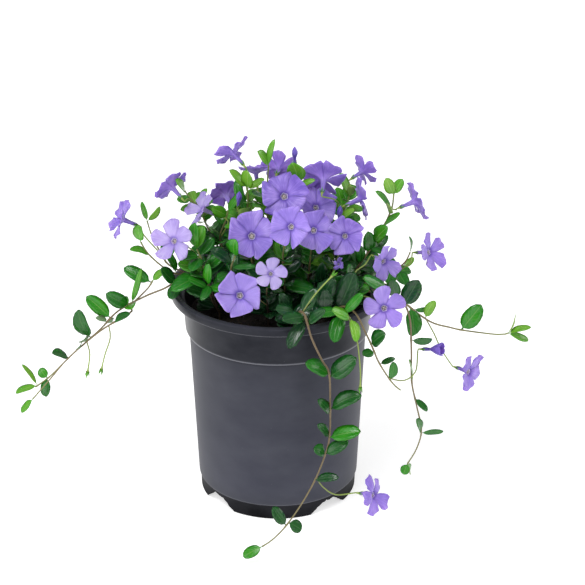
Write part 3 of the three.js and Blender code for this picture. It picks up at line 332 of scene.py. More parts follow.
# How far a flower's petals are painted towards their light colour, where it isn't usual: painted light
# on some blooms, mostly low and in front, from 0, none, to 1, all of it.
BLOOM_PAINTED_LIGHT = {
    "front_large": 0.5, "right_front": 0.45, "right_low": 0.4, "middle_front": 0.3,
    "middle_left": 0.2, "right_far": 0.3, "front_small": 0.4, "middle_high": 0.0,
}
USUAL_BLOOM_PAINTED_LIGHT = 0.2
PETALS = 5
PETAL_PITCH = 360 / PETALS
PETAL_THICKNESS = 0.35
TUBE_SHARE, TUBE_FOOT = 0.68, 1.5  # the tube's length: this share of the radius and this more
CLEARANCE = 0.3  # how far the tube stands off its calyx
MOUTH = 0.12  # radius of the throat, against the petals'
DIP, DIP_REACH = 0.13, 0.36  # how deep the throat lies, and how far out that reaches, likewise
TUBE_ROWS, LIMB_ROWS, PETAL_COLUMNS = 4, 8, 8
SEAM_GAP = 0.08  # width under which the seams between petals are closed
RING_END = 0.36  # share of the radius past which a petal has none of the throat's white ring
ANTHER_SIDES = 10
# Each form: the radius of the notch between petals, and a petal's rim in nine steps from one
# corner to the other, as (degrees from its middle, share of the radius).
PETAL_FORMS = {
    "broad": (0.78, [(-37.5, 0.8), (-34, 0.93), (-29, 1.0), (-17, 0.915), (-4, 0.865), (9, 0.85),
                     (21, 0.875), (29, 0.865), (36.5, 0.79)]),
    "narrow": (0.42, [(-32, 0.66), (-30, 0.84), (-25, 0.95), (-15, 0.98), (-4, 0.97), (8, 0.92),
                      (19, 0.86), (27, 0.78), (30, 0.64)]),
    "shut": (0.8, [(-35, 0.85), (-29, 0.93), (-22, 0.96), (-13, 0.98), (-3, 1.0), (8, 0.99),
                   (18, 0.96), (27, 0.92), (34, 0.85)]),
}
# How wide and how high a closed flower stands in nine steps from its throat to its rim, as
# shares of its radius, and how far its petals turn round each other.
CUP_REACHES = [0.12, 0.2, 0.29, 0.38, 0.45, 0.5, 0.54, 0.55, 0.52]
CUP_HEIGHTS = [-0.13, 0.04, 0.18, 0.34, 0.5, 0.65, 0.79, 0.91, 0.99]
CUP_TURN = 26


def unit(vector):
    """The vector at length 1."""
    vector = np.asarray(vector, float)
    return vector / np.linalg.norm(vector)


def square_to(axis):
    """Two directions square to the axis, the first as level as it can be."""
    side = np.cross((0, 0, 1), axis)
    if np.linalg.norm(side) < 1e-3:
        side = np.array((1.0, 0, 0))
    side = unit(side)
    return side, unit(np.cross(axis, side))


def flower_parts(name):
    """A flower's middle, facing, radius, turn, form, tube length and calyx."""
    middle, faces, radius, turn, form = FLOWERS[name]
    face = unit(faces)
    open_at = np.array(middle, float)
    tube = TUBE_SHARE * radius + TUBE_FOOT
    return {"name": name, "open": open_at, "face": face, "radius": radius, "turn": turn,
            "form": form, "tube": tube, "calyx": open_at - face * tube}


def petal_sheet(form):
    """One fifth of a flower as a flat grid: x from -1 to 1 across the petal, y from -1 at the
    foot of the tube to 1 at the rim."""
    bpy.ops.object.select_all(action="DESELECT")
    bpy.ops.mesh.primitive_grid_add(x_subdivisions=PETAL_COLUMNS,
                                    y_subdivisions=TUBE_ROWS + LIMB_ROWS, size=2)
    sheet = bpy.context.object
    sheet.name = "petal_" + form
    return sheet


def tube_point(flower, across, row):
    """Where a point of the tube goes: turn about the throat, radius and height."""
    climb = max(row - 1, 0) / (TUBE_ROWS - 1)
    reach = 0.02 if row == 0 else 1.0 + (MOUTH * flower["radius"] - 1.0) * climb ** 1.8
    deep = flower["tube"] - DIP * flower["radius"]
    return PETAL_PITCH / 2 * across, reach, CLEARANCE + climb * (deep - CLEARANCE) - flower["tube"]


def limb_point(flower, habit, across, out):
    """Where a point of a petal goes, from the throat, where out is 0, to the rim, where it is 1."""
    radius = flower["radius"]
    notch, rim = PETAL_FORMS[flower["form"]]
    rim_places = np.linspace(-1, 1, len(rim))
    corner = np.interp(across, rim_places, [r[0] for r in rim])
    edge = np.interp(across, rim_places, [r[1] for r in rim]) * habit["shrink"]
    share = MOUTH + (edge - MOUTH) * out
    past = max(0.0, (share - notch) / (edge - notch)) if edge > notch else 0.0
    span = (PETAL_PITCH / 2 + 1.5 * min(1, 3 * out)) * across
    turn = span + (corner - span) * past ** 0.75
    if flower["form"] == "shut":
        steps = np.linspace(0, 1, len(CUP_REACHES))
        reach = radius * np.interp(out * edge, steps, CUP_REACHES) * (1 + 0.07 * across * out)
        return turn + CUP_TURN * out, reach, radius * np.interp(out * edge, steps, CUP_HEIGHTS)
    rise = (0.05 + habit["tilt"] * out) * share * radius
    twist = habit["lean"] * radius * share * across
    crease = 0.015 * radius * math.exp(-((1 - abs(across)) / 0.22) ** 2) * out * (1 - 0.6 * out)
    dip = DIP * radius * max(0.0, 1 - (share - MOUTH) / DIP_REACH) ** 2
    arch = habit["fold"] * (1 - across * across) * out
    wave = habit["ripple"] * radius * past ** 1.4 * math.sin(2.4 * across * math.pi + habit["phase"])
    collar = 0.02 * radius * math.exp(-((share - MOUTH - 0.03) / 0.03) ** 2)
    reach = share * radius * (1 - 0.45 * out if flower["name"] in WILTED else 1)
    return turn, reach, rise + twist - crease + wave + collar + arch - dip


def petal_points(sheet, flower, draw):
    """Where the grid's points go in a flower: turn about the throat, radius and height."""
    habit = {
        "tilt": draw.normal(flower["sweep"], 0.14), "shrink": 1 + draw.normal(0, 0.02),
        "fold": draw.normal(0.03, 0.025) * flower["radius"], "ripple": draw.uniform(0.04, 0.09),
        "phase": draw.uniform(0, 6.28), "lean": draw.normal(0.05, 0.03),
    }
    if flower["name"] in WILTED:
        habit["tilt"], habit["ripple"] = draw.uniform(-0.6, 0.5), 0.16
    points = []
    for vertex in sheet.data.vertices:
        across = vertex.co.x
        row = round((vertex.co.y + 1) / 2 * (TUBE_ROWS + LIMB_ROWS))
        if row > TUBE_ROWS:
            points.append(limb_point(flower, habit, across, (row - TUBE_ROWS) / LIMB_ROWS))
        else:
            points.append(tube_point(flower, across, row))
    turns, reaches, heights = np.array(points).T
    return np.radians(turns), reaches, heights


def round_places(piece):
    """A piece's points as turn about its axis, radius and height in mm."""
    local = np.array([v.co for v in piece.data.vertices]) / MM
    return np.arctan2(local[:, 1], local[:, 0]), np.hypot(local[:, 0], local[:, 1]), local[:, 2]


def placed(flower, turns, reaches, heights):
    """Points of a flower in metres, from turn, radius and height in mm."""
    side, up = square_to(flower["face"])
    across = side * np.cos(turns)[:, None] + up * np.sin(turns)[:, None]
    points = flower["open"] + across * reaches[:, None] + flower["face"] * heights[:, None]
    return (points * MM).astype(np.float32)


def merge_and_thicken(piece, gap, thickness):
    """Closes the seams between a piece's parts, turns its faces outwards and gives it a wall."""
    bpy.ops.object.select_all(action="DESELECT")
    piece.select_set(True)
    bpy.context.view_layer.objects.active = piece
    bpy.ops.object.mode_set(mode="EDIT")
    bpy.ops.mesh.select_all(action="SELECT")
    bpy.ops.mesh.remove_doubles(threshold=gap * MM)
    bpy.ops.mesh.normals_make_consistent(inside=False)
    bpy.ops.object.mode_set(mode="OBJECT")
    wall = piece.modifiers.new("wall", "SOLIDIFY")
    wall.thickness = thickness * MM
    wall.offset = 0
    bpy.ops.object.modifier_apply(modifier=wall.name)
    bpy.ops.object.shade_smooth()


def petal_material(name, light, middle, dark, edge):
    """Petal skin: matt and finely veined, with a thin white pentagon round the throat. Painted shade
    darkens the petals where they lap over each other, less towards their rims, and painted light pales
    some blooms as a whole."""
    material, tree, shader = new_material(name, Roughness=0.58, Sheen_Weight=0.15,
                                          Sheen_Roughness=0.4, Subsurface_Weight=0.45,
                                          Subsurface_Scale=0.002)
    shader.inputs["Subsurface Radius"].default_value = (0.9, 0.6, 1.0)
    where = add_node(tree, "SeparateXYZ", Vector=add_node(tree, "UVMap").outputs["UV"])
    out, across = where.outputs["X"], where.outputs["Y"]
    fan = add_node(tree, "CombineXYZ", X=out, Y=across).outputs["Vector"]
    veins = add_node(tree, "Mapping", Vector=fan, Scale=(1.2, 11, 1)).outputs["Vector"]
    vein = add_node(tree, "TexNoise", Vector=veins, Scale=1.7, Detail=3.0).outputs["Fac"]
    cloud = add_node(tree, "TexNoise", Vector=add_node(tree, "TexCoord").outputs["Object"],
                     Scale=95.0, Detail=2.0).outputs["Fac"]
    mixed = add_node(tree, "Mix", _0=0.55, _2=vein, _3=cloud).outputs[0]
    body = ramp(tree, mixed, (0.34, dark), (0.5, middle), (0.68, light))
    # Painted light: the bloom's own value mixes its petals towards the light colour.
    painted_light = add_node(tree, "Attribute", {"attribute_name": "painted_light"}).outputs["Fac"]
    body = add_node(tree, "Mix", {"data_type": "RGBA"}, _0=painted_light, _6=body, _7=linear(light))
    # Painted shade: near the side edges of each petal, where petals lap, the colour goes towards the
    # edge colour, less towards the rims.
    share = add_node(tree, "Math", {"operation": "FRACT"}, _0=across).outputs[0]
    off = add_node(tree, "Math", {"operation": "SUBTRACT"}, _0=share, _1=0.5).outputs[0]
    off = add_node(tree, "Math", {"operation": "ABSOLUTE"}, _0=off).outputs[0]
    seam_shade_mask = add_node(tree, "MapRange", Value=off, _1=0.28, _2=0.5, _3=0.0, _4=1.0).outputs["Result"]
    inner = add_node(tree, "MapRange", Value=out, _1=0.25, _2=0.9, _3=0.3, _4=0.05).outputs["Result"]
    lap_shade = add_node(tree, "Math", {"operation": "MULTIPLY"}, _0=seam_shade_mask, _1=inner).outputs[0]
    shaded = add_node(tree, "Mix", {"data_type": "RGBA"}, _0=lap_shade, _6=body.outputs[2],
                      _7=linear(edge))
    corner = add_node(tree, "Math", {"operation": "MULTIPLY_ADD"}, _0=off, _1=0.05, _2=out).outputs[0]
    throat = ramp(tree, corner, (0.0, "#8d8584"), (0.13, "#5d5372"), (0.142, "#c3b8de"),
                  (0.153, "#cdc3e6"), (0.168, edge), (0.3, middle))
    mask = add_node(tree, "MapRange", Value=corner, _1=0.185, _2=0.36, _3=0.0, _4=1.0)
    skin = add_node(tree, "Mix", {"data_type": "RGBA"}, _0=mask.outputs["Result"], _6=throat,
                    _7=shaded.outputs[2])
    tree.links.new(skin.outputs[2], shader.inputs["Base Color"])
    ridge = add_node(tree, "Bump", Height=vein, Strength=0.4, Distance=0.35 * MM)
    tree.links.new(ridge.outputs["Normal"], shader.inputs["Normal"])
    return material


# Each skin gives its light, middle and dark colours, then its edge colour: painted shade where petals
# lap, and the violet just outside the throat's white ring.
PETAL_SKINS = {
    "petal": petal_material("petal_violet", "#ae99ea", "#816ac8", "#6049ae", "#55419f"),
    "petal_pale": petal_material("petal_lilac", "#bdafe6", "#a291d6", "#8774c6", "#7561b6"),
    "petal_dark": petal_material("petal_deep_violet", "#8770cc", "#5f4ab0", "#402e90", "#35247e"),
}
# Anthers: felted and matt, cream-grey with dark gaps between them.
anther_skin, tree, shader = new_material("anthers_felted", Roughness=0.9)
place = add_node(tree, "TexCoord").outputs["Object"]
grains = add_node(tree, "TexVoronoi", Vector=place, Scale=1300.0).outputs["Distance"]
felt = ramp(tree, grains, (0.1, "#c9bfae"), (0.5, "#9c9490"), (0.8, "#51485c"))
tree.links.new(felt, shader.inputs["Base Color"])

# The plug of anthers in a throat, as (share of the throat's radius, height).
ANTHERS = [(0.0, -2.6), (0.7, -2.2), (0.9, -1.0), (0.6, -0.2), (0.0, 0.1)]
petal_sheets = {form: petal_sheet(form) for form in PETAL_FORMS}
petal_draw = np.random.default_rng(11)
flowers = [flower_parts(name) for name in FLOWERS]
for flower in flowers:
    flower["sweep"] = petal_draw.normal(0.05, 0.07)
    sheet = petal_sheets[flower["form"]]
    petals = []
    for number in range(PETALS):
        turns, reaches, heights = petal_points(sheet, flower, petal_draw)
        petal = sheet.copy()
        petal.data = sheet.data.copy()
        bpy.context.collection.objects.link(petal)
        turn = math.radians(flower["turn"] + PETAL_PITCH * number)
        petal.data.vertices.foreach_set("co", placed(flower, turns + turn, reaches, heights).ravel())
        spots = petal.data.uv_layers[0].data
        for loop in petal.data.loops:
            limb = heights[loop.vertex_index] > -DIP * flower["radius"] - 0.1
            out = reaches[loop.vertex_index] / flower["radius"]
            across = spots[loop.index].uv.x
            spots[loop.index].uv = (out if limb else 0.3 + 0.01 * out, across + number)
        petals.append(petal)
    bloom = join_pieces(petals, "bloom_" + flower["name"])
    merge_and_thicken(bloom, SEAM_GAP, PETAL_THICKNESS)
    # Painted light: some blooms, mostly low and in front, get their petals painted lighter as a whole.
    painted_light_values = bloom.data.attributes.new("painted_light", "FLOAT", "POINT")
    painted_light = BLOOM_PAINTED_LIGHT.get(flower["name"], USUAL_BLOOM_PAINTED_LIGHT)
    painted_light_values.data.foreach_set("value", np.full(len(bloom.data.vertices), painted_light, np.float32))
    spots = bloom.data.uv_layers[0].data
    for polygon in bloom.data.polygons:
        if np.dot(polygon.normal, flower["face"]) < 0:
            for index in polygon.loop_indices:
                spots[index].uv.x = max(spots[index].uv.x, RING_END)
    slot = "petal_pale" if flower["name"] in PALE else "petal"
    slot = "petal_dark" if flower["name"] in DEEP else slot
    bloom.data.materials.append(PETAL_SKINS[slot])
    if flower["form"] != "shut":
        mouth = MOUTH * flower["radius"]
        stations = [(max(share * mouth, 0.01), height) for share, height in ANTHERS]
        plug = turned_piece("anthers", stations, ANTHER_SIDES)
        turns, reaches, heights = round_places(plug)
        heights -= DIP * flower["radius"]
        plug.data.vertices.foreach_set("co", placed(flower, turns, reaches, heights).ravel())
        plug.data.materials.append(anther_skin)
        bloom = join_pieces([bloom, plug], "bloom_" + flower["name"])
    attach(bloom, "root")
    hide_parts("flower_" + flower["name"])
for sheet in petal_sheets.values():
    bpy.data.objects.remove(sheet)


# Buds: the petals rolled round each other into a dark spindle. Each row is
# [lower end, direction, length].
BUDS = {
    "bud_top": [(12, 10, 243), (0, 0.1, 1), 13],
    "bud_left": [(-27, 0, 216), (0.1, -0.1, 1), 12],
    "bud_right": [(42, -5, 206), (0.1, 0, 1), 13],
}
# A bud's outline, as (share of its length, radius).
BUD_PROFILE = [(0.0, 0.01), (0.03, 0.8), (0.2, 0.9), (0.4, 1.15), (0.55, 1.75), (0.64, 1.95),
               (0.74, 1.75), (0.86, 1.15), (0.95, 0.5), (1.0, 0.01)]
BUD_SIDES = 25
BUD_TWIST = 0.22  # how far the rolled petals turn in each mm
BUD_RIDGES = 0.14  # how far their edges stand out, against the radius
buds = [{"name": name, "calyx": np.array(row[0], float), "face": unit(row[1]), "length": row[2]}
        for name, row in BUDS.items()]
for bud in buds:
    stations = [(radius, share * bud["length"]) for share, radius in BUD_PROFILE]
    piece = turned_piece(bud["name"] + "_rolled", stations, BUD_SIDES)
    turns, reaches, heights = round_places(piece)
    reaches *= 1 + BUD_RIDGES * np.cos(PETALS * turns)
    turns += BUD_TWIST * heights
    stand = {"open": bud["calyx"], "face": bud["face"]}
    piece.data.vertices.foreach_set("co", placed(stand, turns, reaches, heights).ravel())
    spots = piece.data.uv_layers[0].data
    for loop in piece.data.loops:
        spots[loop.index].uv = (0.5 + 0.03 * heights[loop.vertex_index], turns[loop.vertex_index])
    piece.data.materials.append(PETAL_SKINS["petal_dark"])
    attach(piece, "root")
    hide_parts(bud["name"])


# Leafy stems: wiry canes that root in the soil, arch over the rim and trail, with leaves in
# opposite pairs, each next pair a quarter turn round. Each stem is a list of canes. The first
# stands in the soil, and each later one grows from cane "on" at the share "from" of its length.
# A leaf is [share of the cane's length, tip, width, turn in degrees]. "pairs" puts leaf pairs by
# rule, as [first share, last share, number, leaf length, turn of the first pair]. A cane with
# flower or bud is its stalk, and one with spent is a stalk whose flower has dropped.
STEMS = {
    "runner_left": [
        {"root": [-40, -12], "path": [[-52, -14, 161], [-67, -15, 167], [-78, -17, 162],
             [-92, -20, 157], [-110, -24, 148], [-123, -27, 135], [-143, -30, 117], [-158, -32, 102],
             [-169, -34, 94]],
         "leaves": [[0.49, [-93, -23, 180], 4, 70], [0.5, [-117, -28, 163], 9, -40],
             [0.5, [-110, -10, 150], 8], [0.49, [-98, -34, 151], 8], [0.59, [-132, -20, 157], 9],
             [0.61, [-124, -32, 148], 5, 60], [0.6, [-115, -18, 136], 6], [0.7, [-137, -29, 151], 10],
             [0.72, [-129, -40, 129], 7], [0.82, [-156, -36, 121], 8], [0.94, [-166, -29, 106], 6],
             [0.94, [-161, -39, 89], 8], [0.99, [-179, -30, 109], 4, 60], [0.99, [-182, -39, 91], 6]],
         "pairs": [0.16, 0.3, 2, 19, 30]},
        {"on": 0, "from": 0.48, "path": [[-89, -18, 163], [-86, -17, 168]],
         "leaves": [[0.92, [-106, -12, 175], 9], [0.97, [-77, -13, 173], 6]]},
        {"on": 0, "from": 0.5, "path": [[-100, -28, 150], [-108, -32, 146], [-123, -35, 137],
             [-144, -38, 119], [-157, -40, 104], [-170, -42, 89]],
         "leaves": [[0.21, [-101, -38, 153], 6], [0.5, [-134, -46, 132], 6], [1, [-178, -44, 79], 6]]},
        {"on": 2, "from": 0.25, "path": [[-115, -36, 133], [-119, -37, 121], [-122, -36, 109]],
         "spent": True},
        {"on": 2, "from": 0.44, "path": [[-129, -41, 123], [-131, -42, 110]], "spent": True},
    ],
    "shoot_left": [
        {"root": [-36, 0], "path": [[-52, 0, 163], [-71, -3, 167], [-79, -6, 173], [-89, -8, 184],
             [-94, -8, 193]],
         "leaves": [[1, [-95, -8, 206], 8], [0.87, [-101, -13, 190], 6], [0.61, [-78, 3, 184], 7, 50],
             [0.5, [-64, -14, 163], 10]], "pairs": [0.25, 0.42, 2, 19, 70]},
        {"on": 0, "from": 0.5, "path": [[-76, 3, 171], [-82, 4, 181], [-87, 4, 192], [-90, 3, 204]],
         "leaves": [[0.5, [-76, 0, 194], 8, 80], [0.4, [-72, 12, 181], 6], [1, [-93, 2, 219], 4],
             [1, [-81, 7, 213], 4, 70]]},
        {"on": 1, "from": 0.45, "path": [[-88, 0, 189], [-93, -2, 197]], "flower": "left_far"},
    ],
    "shoot_left_back": [
        {"root": [-30, 12], "path": [[-38, 14, 171], [-49, 14, 195], [-54, 14, 209], [-60, 13, 216],
             [-64, 12, 223]],
         "leaves": [[1, [-71, 1, 234], 7, -80], [0.92, [-69, 6, 219], 5, -60],
             [0.86, [-49, 19, 222], 5]], "pairs": [0.2, 0.75, 3, 20, 10]},
        {"on": 0, "from": 0.8, "path": [[-61, 9, 218]], "flower": "left_back"},
    ],
    "shoot_left_inner": [
        {"root": [-26, 3], "path": [[-32, 4, 171], [-40, 5, 189], [-36, 5, 203], [-34, 5, 211]],
         "leaves": [[0.95, [-45, -5, 217], 7, -70], [0.7, [-53, -3, 196], 8], [0.98, [-25, 8, 223], 6]],
         "pairs": [0.25, 0.7, 2, 20, 60]},
        {"on": 0, "from": 0.75, "path": [[-34, 3, 204]], "flower": "left_inner"},
    ],
    "shoot_left_front": [
        {"root": [-40, -22], "path": [[-46, -22, 165], [-50, -19, 179], [-55, -16, 191]],
         "leaves": [[0.9, [-58, -31, 181], 9], [1, [-50, -10, 206], 8], [0.7, [-72, -36, 169], 12],
             [1, [-60, -22, 211], 8]], "pairs": [0.3, 0.75, 2, 19, 45]},
        {"on": 0, "from": 0.72, "path": [[-56, -14, 187], [-62, -11, 191]], "flower": "left_front"},
        {"on": 0, "from": 0.25, "path": [[-45, -28, 159], [-47, -31, 171]],
         "leaves": [[1, [-46, -36, 189], 7], [1, [-51, -45, 166], 6], [0.95, [-38, -42, 170], 7],
             [0.85, [-61, -34, 177], 6], [0.6, [-62, -26, 167], 10]]},
    ],
    "shoot_top_left": [
        {"root": [-14, 8], "path": [[-17, 8, 173], [-22, 7, 202], [-20, 6, 218], [-21, 5, 229]],
         "leaves": [[0.99, [-32, 3, 242], 7], [0.99, [-20, -3, 244], 9, 80], [0.98, [-9, 7, 234], 6],
             [0.79, [-35, 8, 229], 6], [0.72, [-22, -7, 218], 8]], "pairs": [0.2, 0.65, 3, 20, 0]},
        {"on": 0, "from": 0.86, "path": [[-21, 8, 234]], "flower": "top_left"},
        {"on": 0, "from": 0.74, "path": [[-26, 3, 211]], "bud": "bud_left"},
    ],
    "shoot_top": [
        {"root": [-2, 17], "path": [[-4, 17, 175], [-7, 14, 204], [-7, 12, 224], [-6, 10, 242]],
         "leaves": [[1, [-13, 7, 254], 8], [1, [-2, 14, 260], 4], [0.82, [4, 19, 225], 6]],
         "pairs": [0.2, 0.7, 3, 20, 45]},
        {"on": 0, "from": 0.74, "path": [[-12, 18, 217]], "flower": "top_middle"},
        {"on": 0, "from": 0.12, "path": [[3, 15, 168], [8, 12, 203], [12, 9, 221], [13, 6, 231]],
         "leaves": [[0.99, [10, 0, 249], 11, -60], [0.95, [26, 5, 234], 4, 30]]},
        {"on": 2, "from": 0.72, "path": [[6, 17, 221], [2, 20, 229]], "flower": "top_back"},
        {"on": 2, "from": 0.85, "path": [[13, 9, 235]], "bud": "bud_top"},
    ],
    "shoot_middle": [
        {"root": [0, -1], "path": [[1, -2, 173], [3, -1, 203]], "pairs": [0.25, 0.85, 3, 21, 20]},
        {"on": 0, "from": 0.9, "path": [[4, -1, 215]], "flower": "middle_high"},
    ],
    "shoot_middle_left": [
        {"root": [-15, -10], "path": [[-17, -12, 173], [-18, -13, 189]],
         "pairs": [0.25, 0.9, 2, 21, 70]},
        {"on": 0, "from": 0.9, "path": [[-17, -15, 196]], "flower": "middle_left"},
    ],
    "shoot_middle_front": [
        {"root": [6, -24], "path": [[5, -26, 168], [4, -28, 189], [5, -30, 201]],
         "leaves": [[0.55, [25, -36, 169], 11]], "pairs": [0.25, 0.8, 2, 20, 45]},
        {"on": 0, "from": 0.93, "path": [[8, -32, 207]], "flower": "middle_front"},
    ],
    "shoot_middle_right": [
        {"root": [20, -9], "path": [[22, -10, 173], [24, -12, 193]], "pairs": [0.25, 0.9, 2, 21, 10]},
        {"on": 0, "from": 0.9, "path": [[24, -12, 200]], "flower": "middle_right"},
    ],
    "shoot_top_right": [
        {"root": [22, 9], "path": [[24, 9, 171], [28, 6, 195], [37, 5, 209]],
         "leaves": [[0.95, [47, -6, 216], 7], [0.9, [26, 17, 217], 7]], "pairs": [0.2, 0.7, 3, 21, 60]},
        {"on": 0, "from": 0.72, "path": [[25, 10, 201]], "flower": "middle_behind"},
        {"on": 0, "from": 0.92, "path": [[42, 5, 215], [39, 1, 221]], "flower": "top_right"},
    ],
    "shoot_right_high": [
        {"root": [34, 18], "path": [[38, 19, 173], [44, 20, 198], [50, 20, 215]],
         "leaves": [[1, [44, 14, 232], 8], [1, [58, 12, 226], 6], [0.85, [42, 29, 219], 8]],
         "pairs": [0.2, 0.8, 3, 20, 30]},
        {"on": 0, "from": 0.95, "path": [[51, 22, 222]], "flower": "right_high"},
    ],
    "shoot_right_side": [
        {"root": [36, 4], "path": [[38, 2, 171], [41, -1, 193], [43, -1, 207]],
         "leaves": [[1, [48, -9, 217], 6], [0.8, [53, 4, 207], 7]], "pairs": [0.2, 0.75, 2, 20, 0]},
        {"on": 0, "from": 0.85, "path": [[43, 0, 211], [44, 0, 217]], "flower": "right_side"},
        {"on": 0, "from": 0.8, "path": [[41, -4, 201]], "bud": "bud_right"},
    ],
    "shoot_right_inner": [
        {"root": [34, -14], "path": [[38, -16, 168], [41, -17, 185]],
         "leaves": [[0.5, [30, -33, 189], 9, -80]], "pairs": [0.3, 0.9, 2, 19, 50]},
        {"on": 0, "from": 0.95, "path": [[44, -14, 193]], "flower": "right_inner"},
        {"on": 0, "from": 0.7, "path": [[38, -24, 178]], "flower": "right_faded"},
    ],
    "shoot_right_tall": [
        {"root": [47, -4], "path": [[52, -4, 165], [59, -3, 177], [64, -3, 185], [70, -2, 196],
             [75, 0, 205], [79, 1, 215], [80, 2, 225]],
         "leaves": [[0.99, [74, -2, 238], 7, -60], [0.99, [86, 6, 234], 6], [0.89, [67, -2, 228], 6],
             [0.85, [72, -9, 222], 6], [0.76, [85, -6, 213], 6], [0.64, [74, -13, 206], 10, 80],
             [0.55, [62, -13, 203], 8, -80], [0.45, [54, -17, 196], 7, -80], [0.57, [77, -7, 183], 6],
             [0.5, [77, 5, 192], 7]], "pairs": [0.15, 0.35, 2, 20, 60]},
        {"on": 0, "from": 0.89, "path": [[82, -1, 214]], "flower": "right_tall"},
    ],
    "shoot_right_far": [
        {"root": [50, 8], "path": [[58, 8, 163], [72, 5, 166], [82, 3, 166], [88, 2, 169]],
         "leaves": [[0.86, [94, 8, 164], 8], [0.93, [89, -7, 159], 9], [1, [93, 5, 178], 4],
             [0.74, [82, 14, 171], 7], [0.66, [76, -6, 178], 9, 80]], "pairs": [0.25, 0.5, 2, 19, 80]},
        {"on": 0, "from": 0.97, "path": [[93, 2, 173]], "flower": "right_far"},
        {"on": 0, "from": 0.9, "path": [[89, -1, 175], [92, -3, 183]],
         "leaves": [[1, [92, -3, 195], 4, 30]]},
    ],
    "shoot_right_low": [
        {"root": [36, -34], "path": [[41, -37, 161], [46, -39, 169], [48, -37, 177]],
         "leaves": [[0.8, [58, -49, 180], 12], [0.9, [37, -50, 185], 9, -60], [0.72, [29, -52, 169], 7],
             [1, [42, -38, 192], 7]], "pairs": [0.35, 0.6, 2, 18, 20]},
        {"on": 0, "from": 0.95, "path": [[54, -34, 183], [60, -30, 186]], "flower": "right_low"},
        {"on": 0, "from": 0.7, "path": [[60, -45, 169]], "flower": "right_front"},
    ],
    "shoot_front": [
        {"root": [-6, -32], "path": [[-7, -34, 163], [-7, -36, 173]], "pairs": [0.5, 1, 2, 18, 45]},
        {"on": 0, "from": 0.9, "path": [[-6, -37, 176]], "flower": "front_small"},
        {"on": 0, "from": 0.6, "path": [[-16, -37, 165]], "flower": "front_large"},
        {"on": 0, "from": 0.35, "path": [[-18, -31, 161], [-27, -31, 171], [-31, -36, 185],
             [-28, -39, 196]],
         "leaves": [[1, [-27, -44, 211], 9], [0.85, [-45, -42, 202], 9], [0.83, [-14, -41, 189], 5]],
         "pairs": [0.45, 0.7, 2, 18, 30]},
    ],
    "tuft_rim_right": [
        {"root": [24, -50], "path": [[29, -57, 161], [40, -64, 168], [49, -69, 164]],
         "leaves": [[1, [36, -78, 174], 8], [0.85, [24, -75, 169], 7], [0.9, [38, -81, 152], 9],
             [1, [53, -80, 151], 6], [0.9, [57, -66, 181], 6], [0.6, [32, -66, 183], 9],
             [0.55, [38, -54, 187], 11]], "pairs": [0.4, 0.4, 1, 16, 70]},
        {"on": 0, "from": 0.97, "path": [[53, -76, 153], [55, -78, 139], [56, -78, 127],
             [56, -78, 117]], "spent": True},
    ],
    "runner_right": [
        {"root": [46, -16], "path": [[58, -18, 165], [75, -20, 166], [89, -21, 152], [106, -22, 139],
             [120, -21, 134], [131, -20, 131], [154, -18, 127], [161, -18, 128]],
         "leaves": [[0.53, [107, -16, 147], 4, 70], [0.51, [94, -29, 131], 11],
             [0.6, [109, -20, 154], 6], [0.78, [141, -21, 151], 11], [1, [166, -16, 142], 4, 60],
             [1, [176, -22, 135], 5], [1, [176, -15, 121], 6], [0.36, [79, -11, 175], 9]],
         "pairs": [0.2, 0.28, 2, 18, 30]},
        {"on": 0, "from": 0.6, "path": [[109, -23, 130], [114, -24, 119]], "flower": "runner_right"},
    ],
    "runner_hanging": [
        {"root": [42, -26], "path": [[54, -32, 163], [70, -37, 170], [83, -41, 166], [90, -43, 153],
             [92, -43, 129], [93, -42, 103], [97, -40, 83], [101, -40, 63], [98, -40, 48],
             [92, -40, 36]],
         "leaves": [[0.5, [107, -40, 133], 5, 60], [0.66, [90, -47, 122], 6, 30],
             [0.73, [104, -46, 81], 5], [0.87, [97, -44, 74], 7], [0.87, [117, -37, 60], 4, 60],
             [1, [89, -43, 29], 6], [1, [96, -38, 24], 6], [0.37, [96, -40, 179], 11],
             [0.33, [77, -48, 183], 8, -70], [0.3, [61, -43, 190], 10]],
         "pairs": [0.17, 0.25, 2, 18, 60]},
    ],
    "runner_loop": [
        {"root": [30, -42], "path": [[42, -54, 165], [52, -64, 166], [60, -67, 151], [65, -66, 139],
             [69, -61, 127], [77, -53, 110], [82, -49, 102], [85, -48, 99]],
         "leaves": [[0.27, [52, -52, 190], 13], [0.6, [73, -69, 155], 10], [0.65, [57, -71, 137], 6],
             [0.75, [80, -61, 130], 4], [0.9, [79, -54, 124], 6]], "pairs": [0.2, 0.3, 1, 16, 10]},
        {"on": 0, "from": 0.88, "path": [[87, -51, 108], [95, -49, 114]], "flower": "loop_shut"},
    ],
    "runner_front": [
        {"root": [9, -46], "path": [[12, -58, 161], [18, -74, 170], [23, -82, 156], [30, -81, 139],
             [35, -79, 128], [36, -75, 101], [36, -74, 80], [34, -76, 68], [27, -82, 50], [17, -92, 35],
             [6, -102, 23], [-3, -108, 16], [-10, -112, 13]],
         "leaves": [[0.23, [4, -87, 171], 9], [0.24, [8, -88, 151], 8], [0.09, [0, -57, 177], 9],
             [0.2, [22, -68, 187], 8], [0.25, [36, -76, 174], 7], [0.42, [19, -86, 139], 10],
             [0.43, [53, -82, 141], 12], [0.54, [57, -78, 111], 10], [0.55, [28, -81, 109], 7],
             [0.63, [27, -79, 89], 6], [0.63, [57, -78, 83], 10], [0.68, [25, -80, 71], 8],
             [0.68, [47, -80, 77], 8], [0.76, [42, -88, 53], 6], [0.91, [-3, -100, 37], 7],
             [0.9, [16, -99, 18], 8], [1, [-23, -114, 6], 7]], "pairs": [0.09, 0.09, 1, 16, 20]},
        {"on": 0, "from": 0.75, "path": [[31, -83, 43], [40, -84, 37]], "flower": "runner_front"},
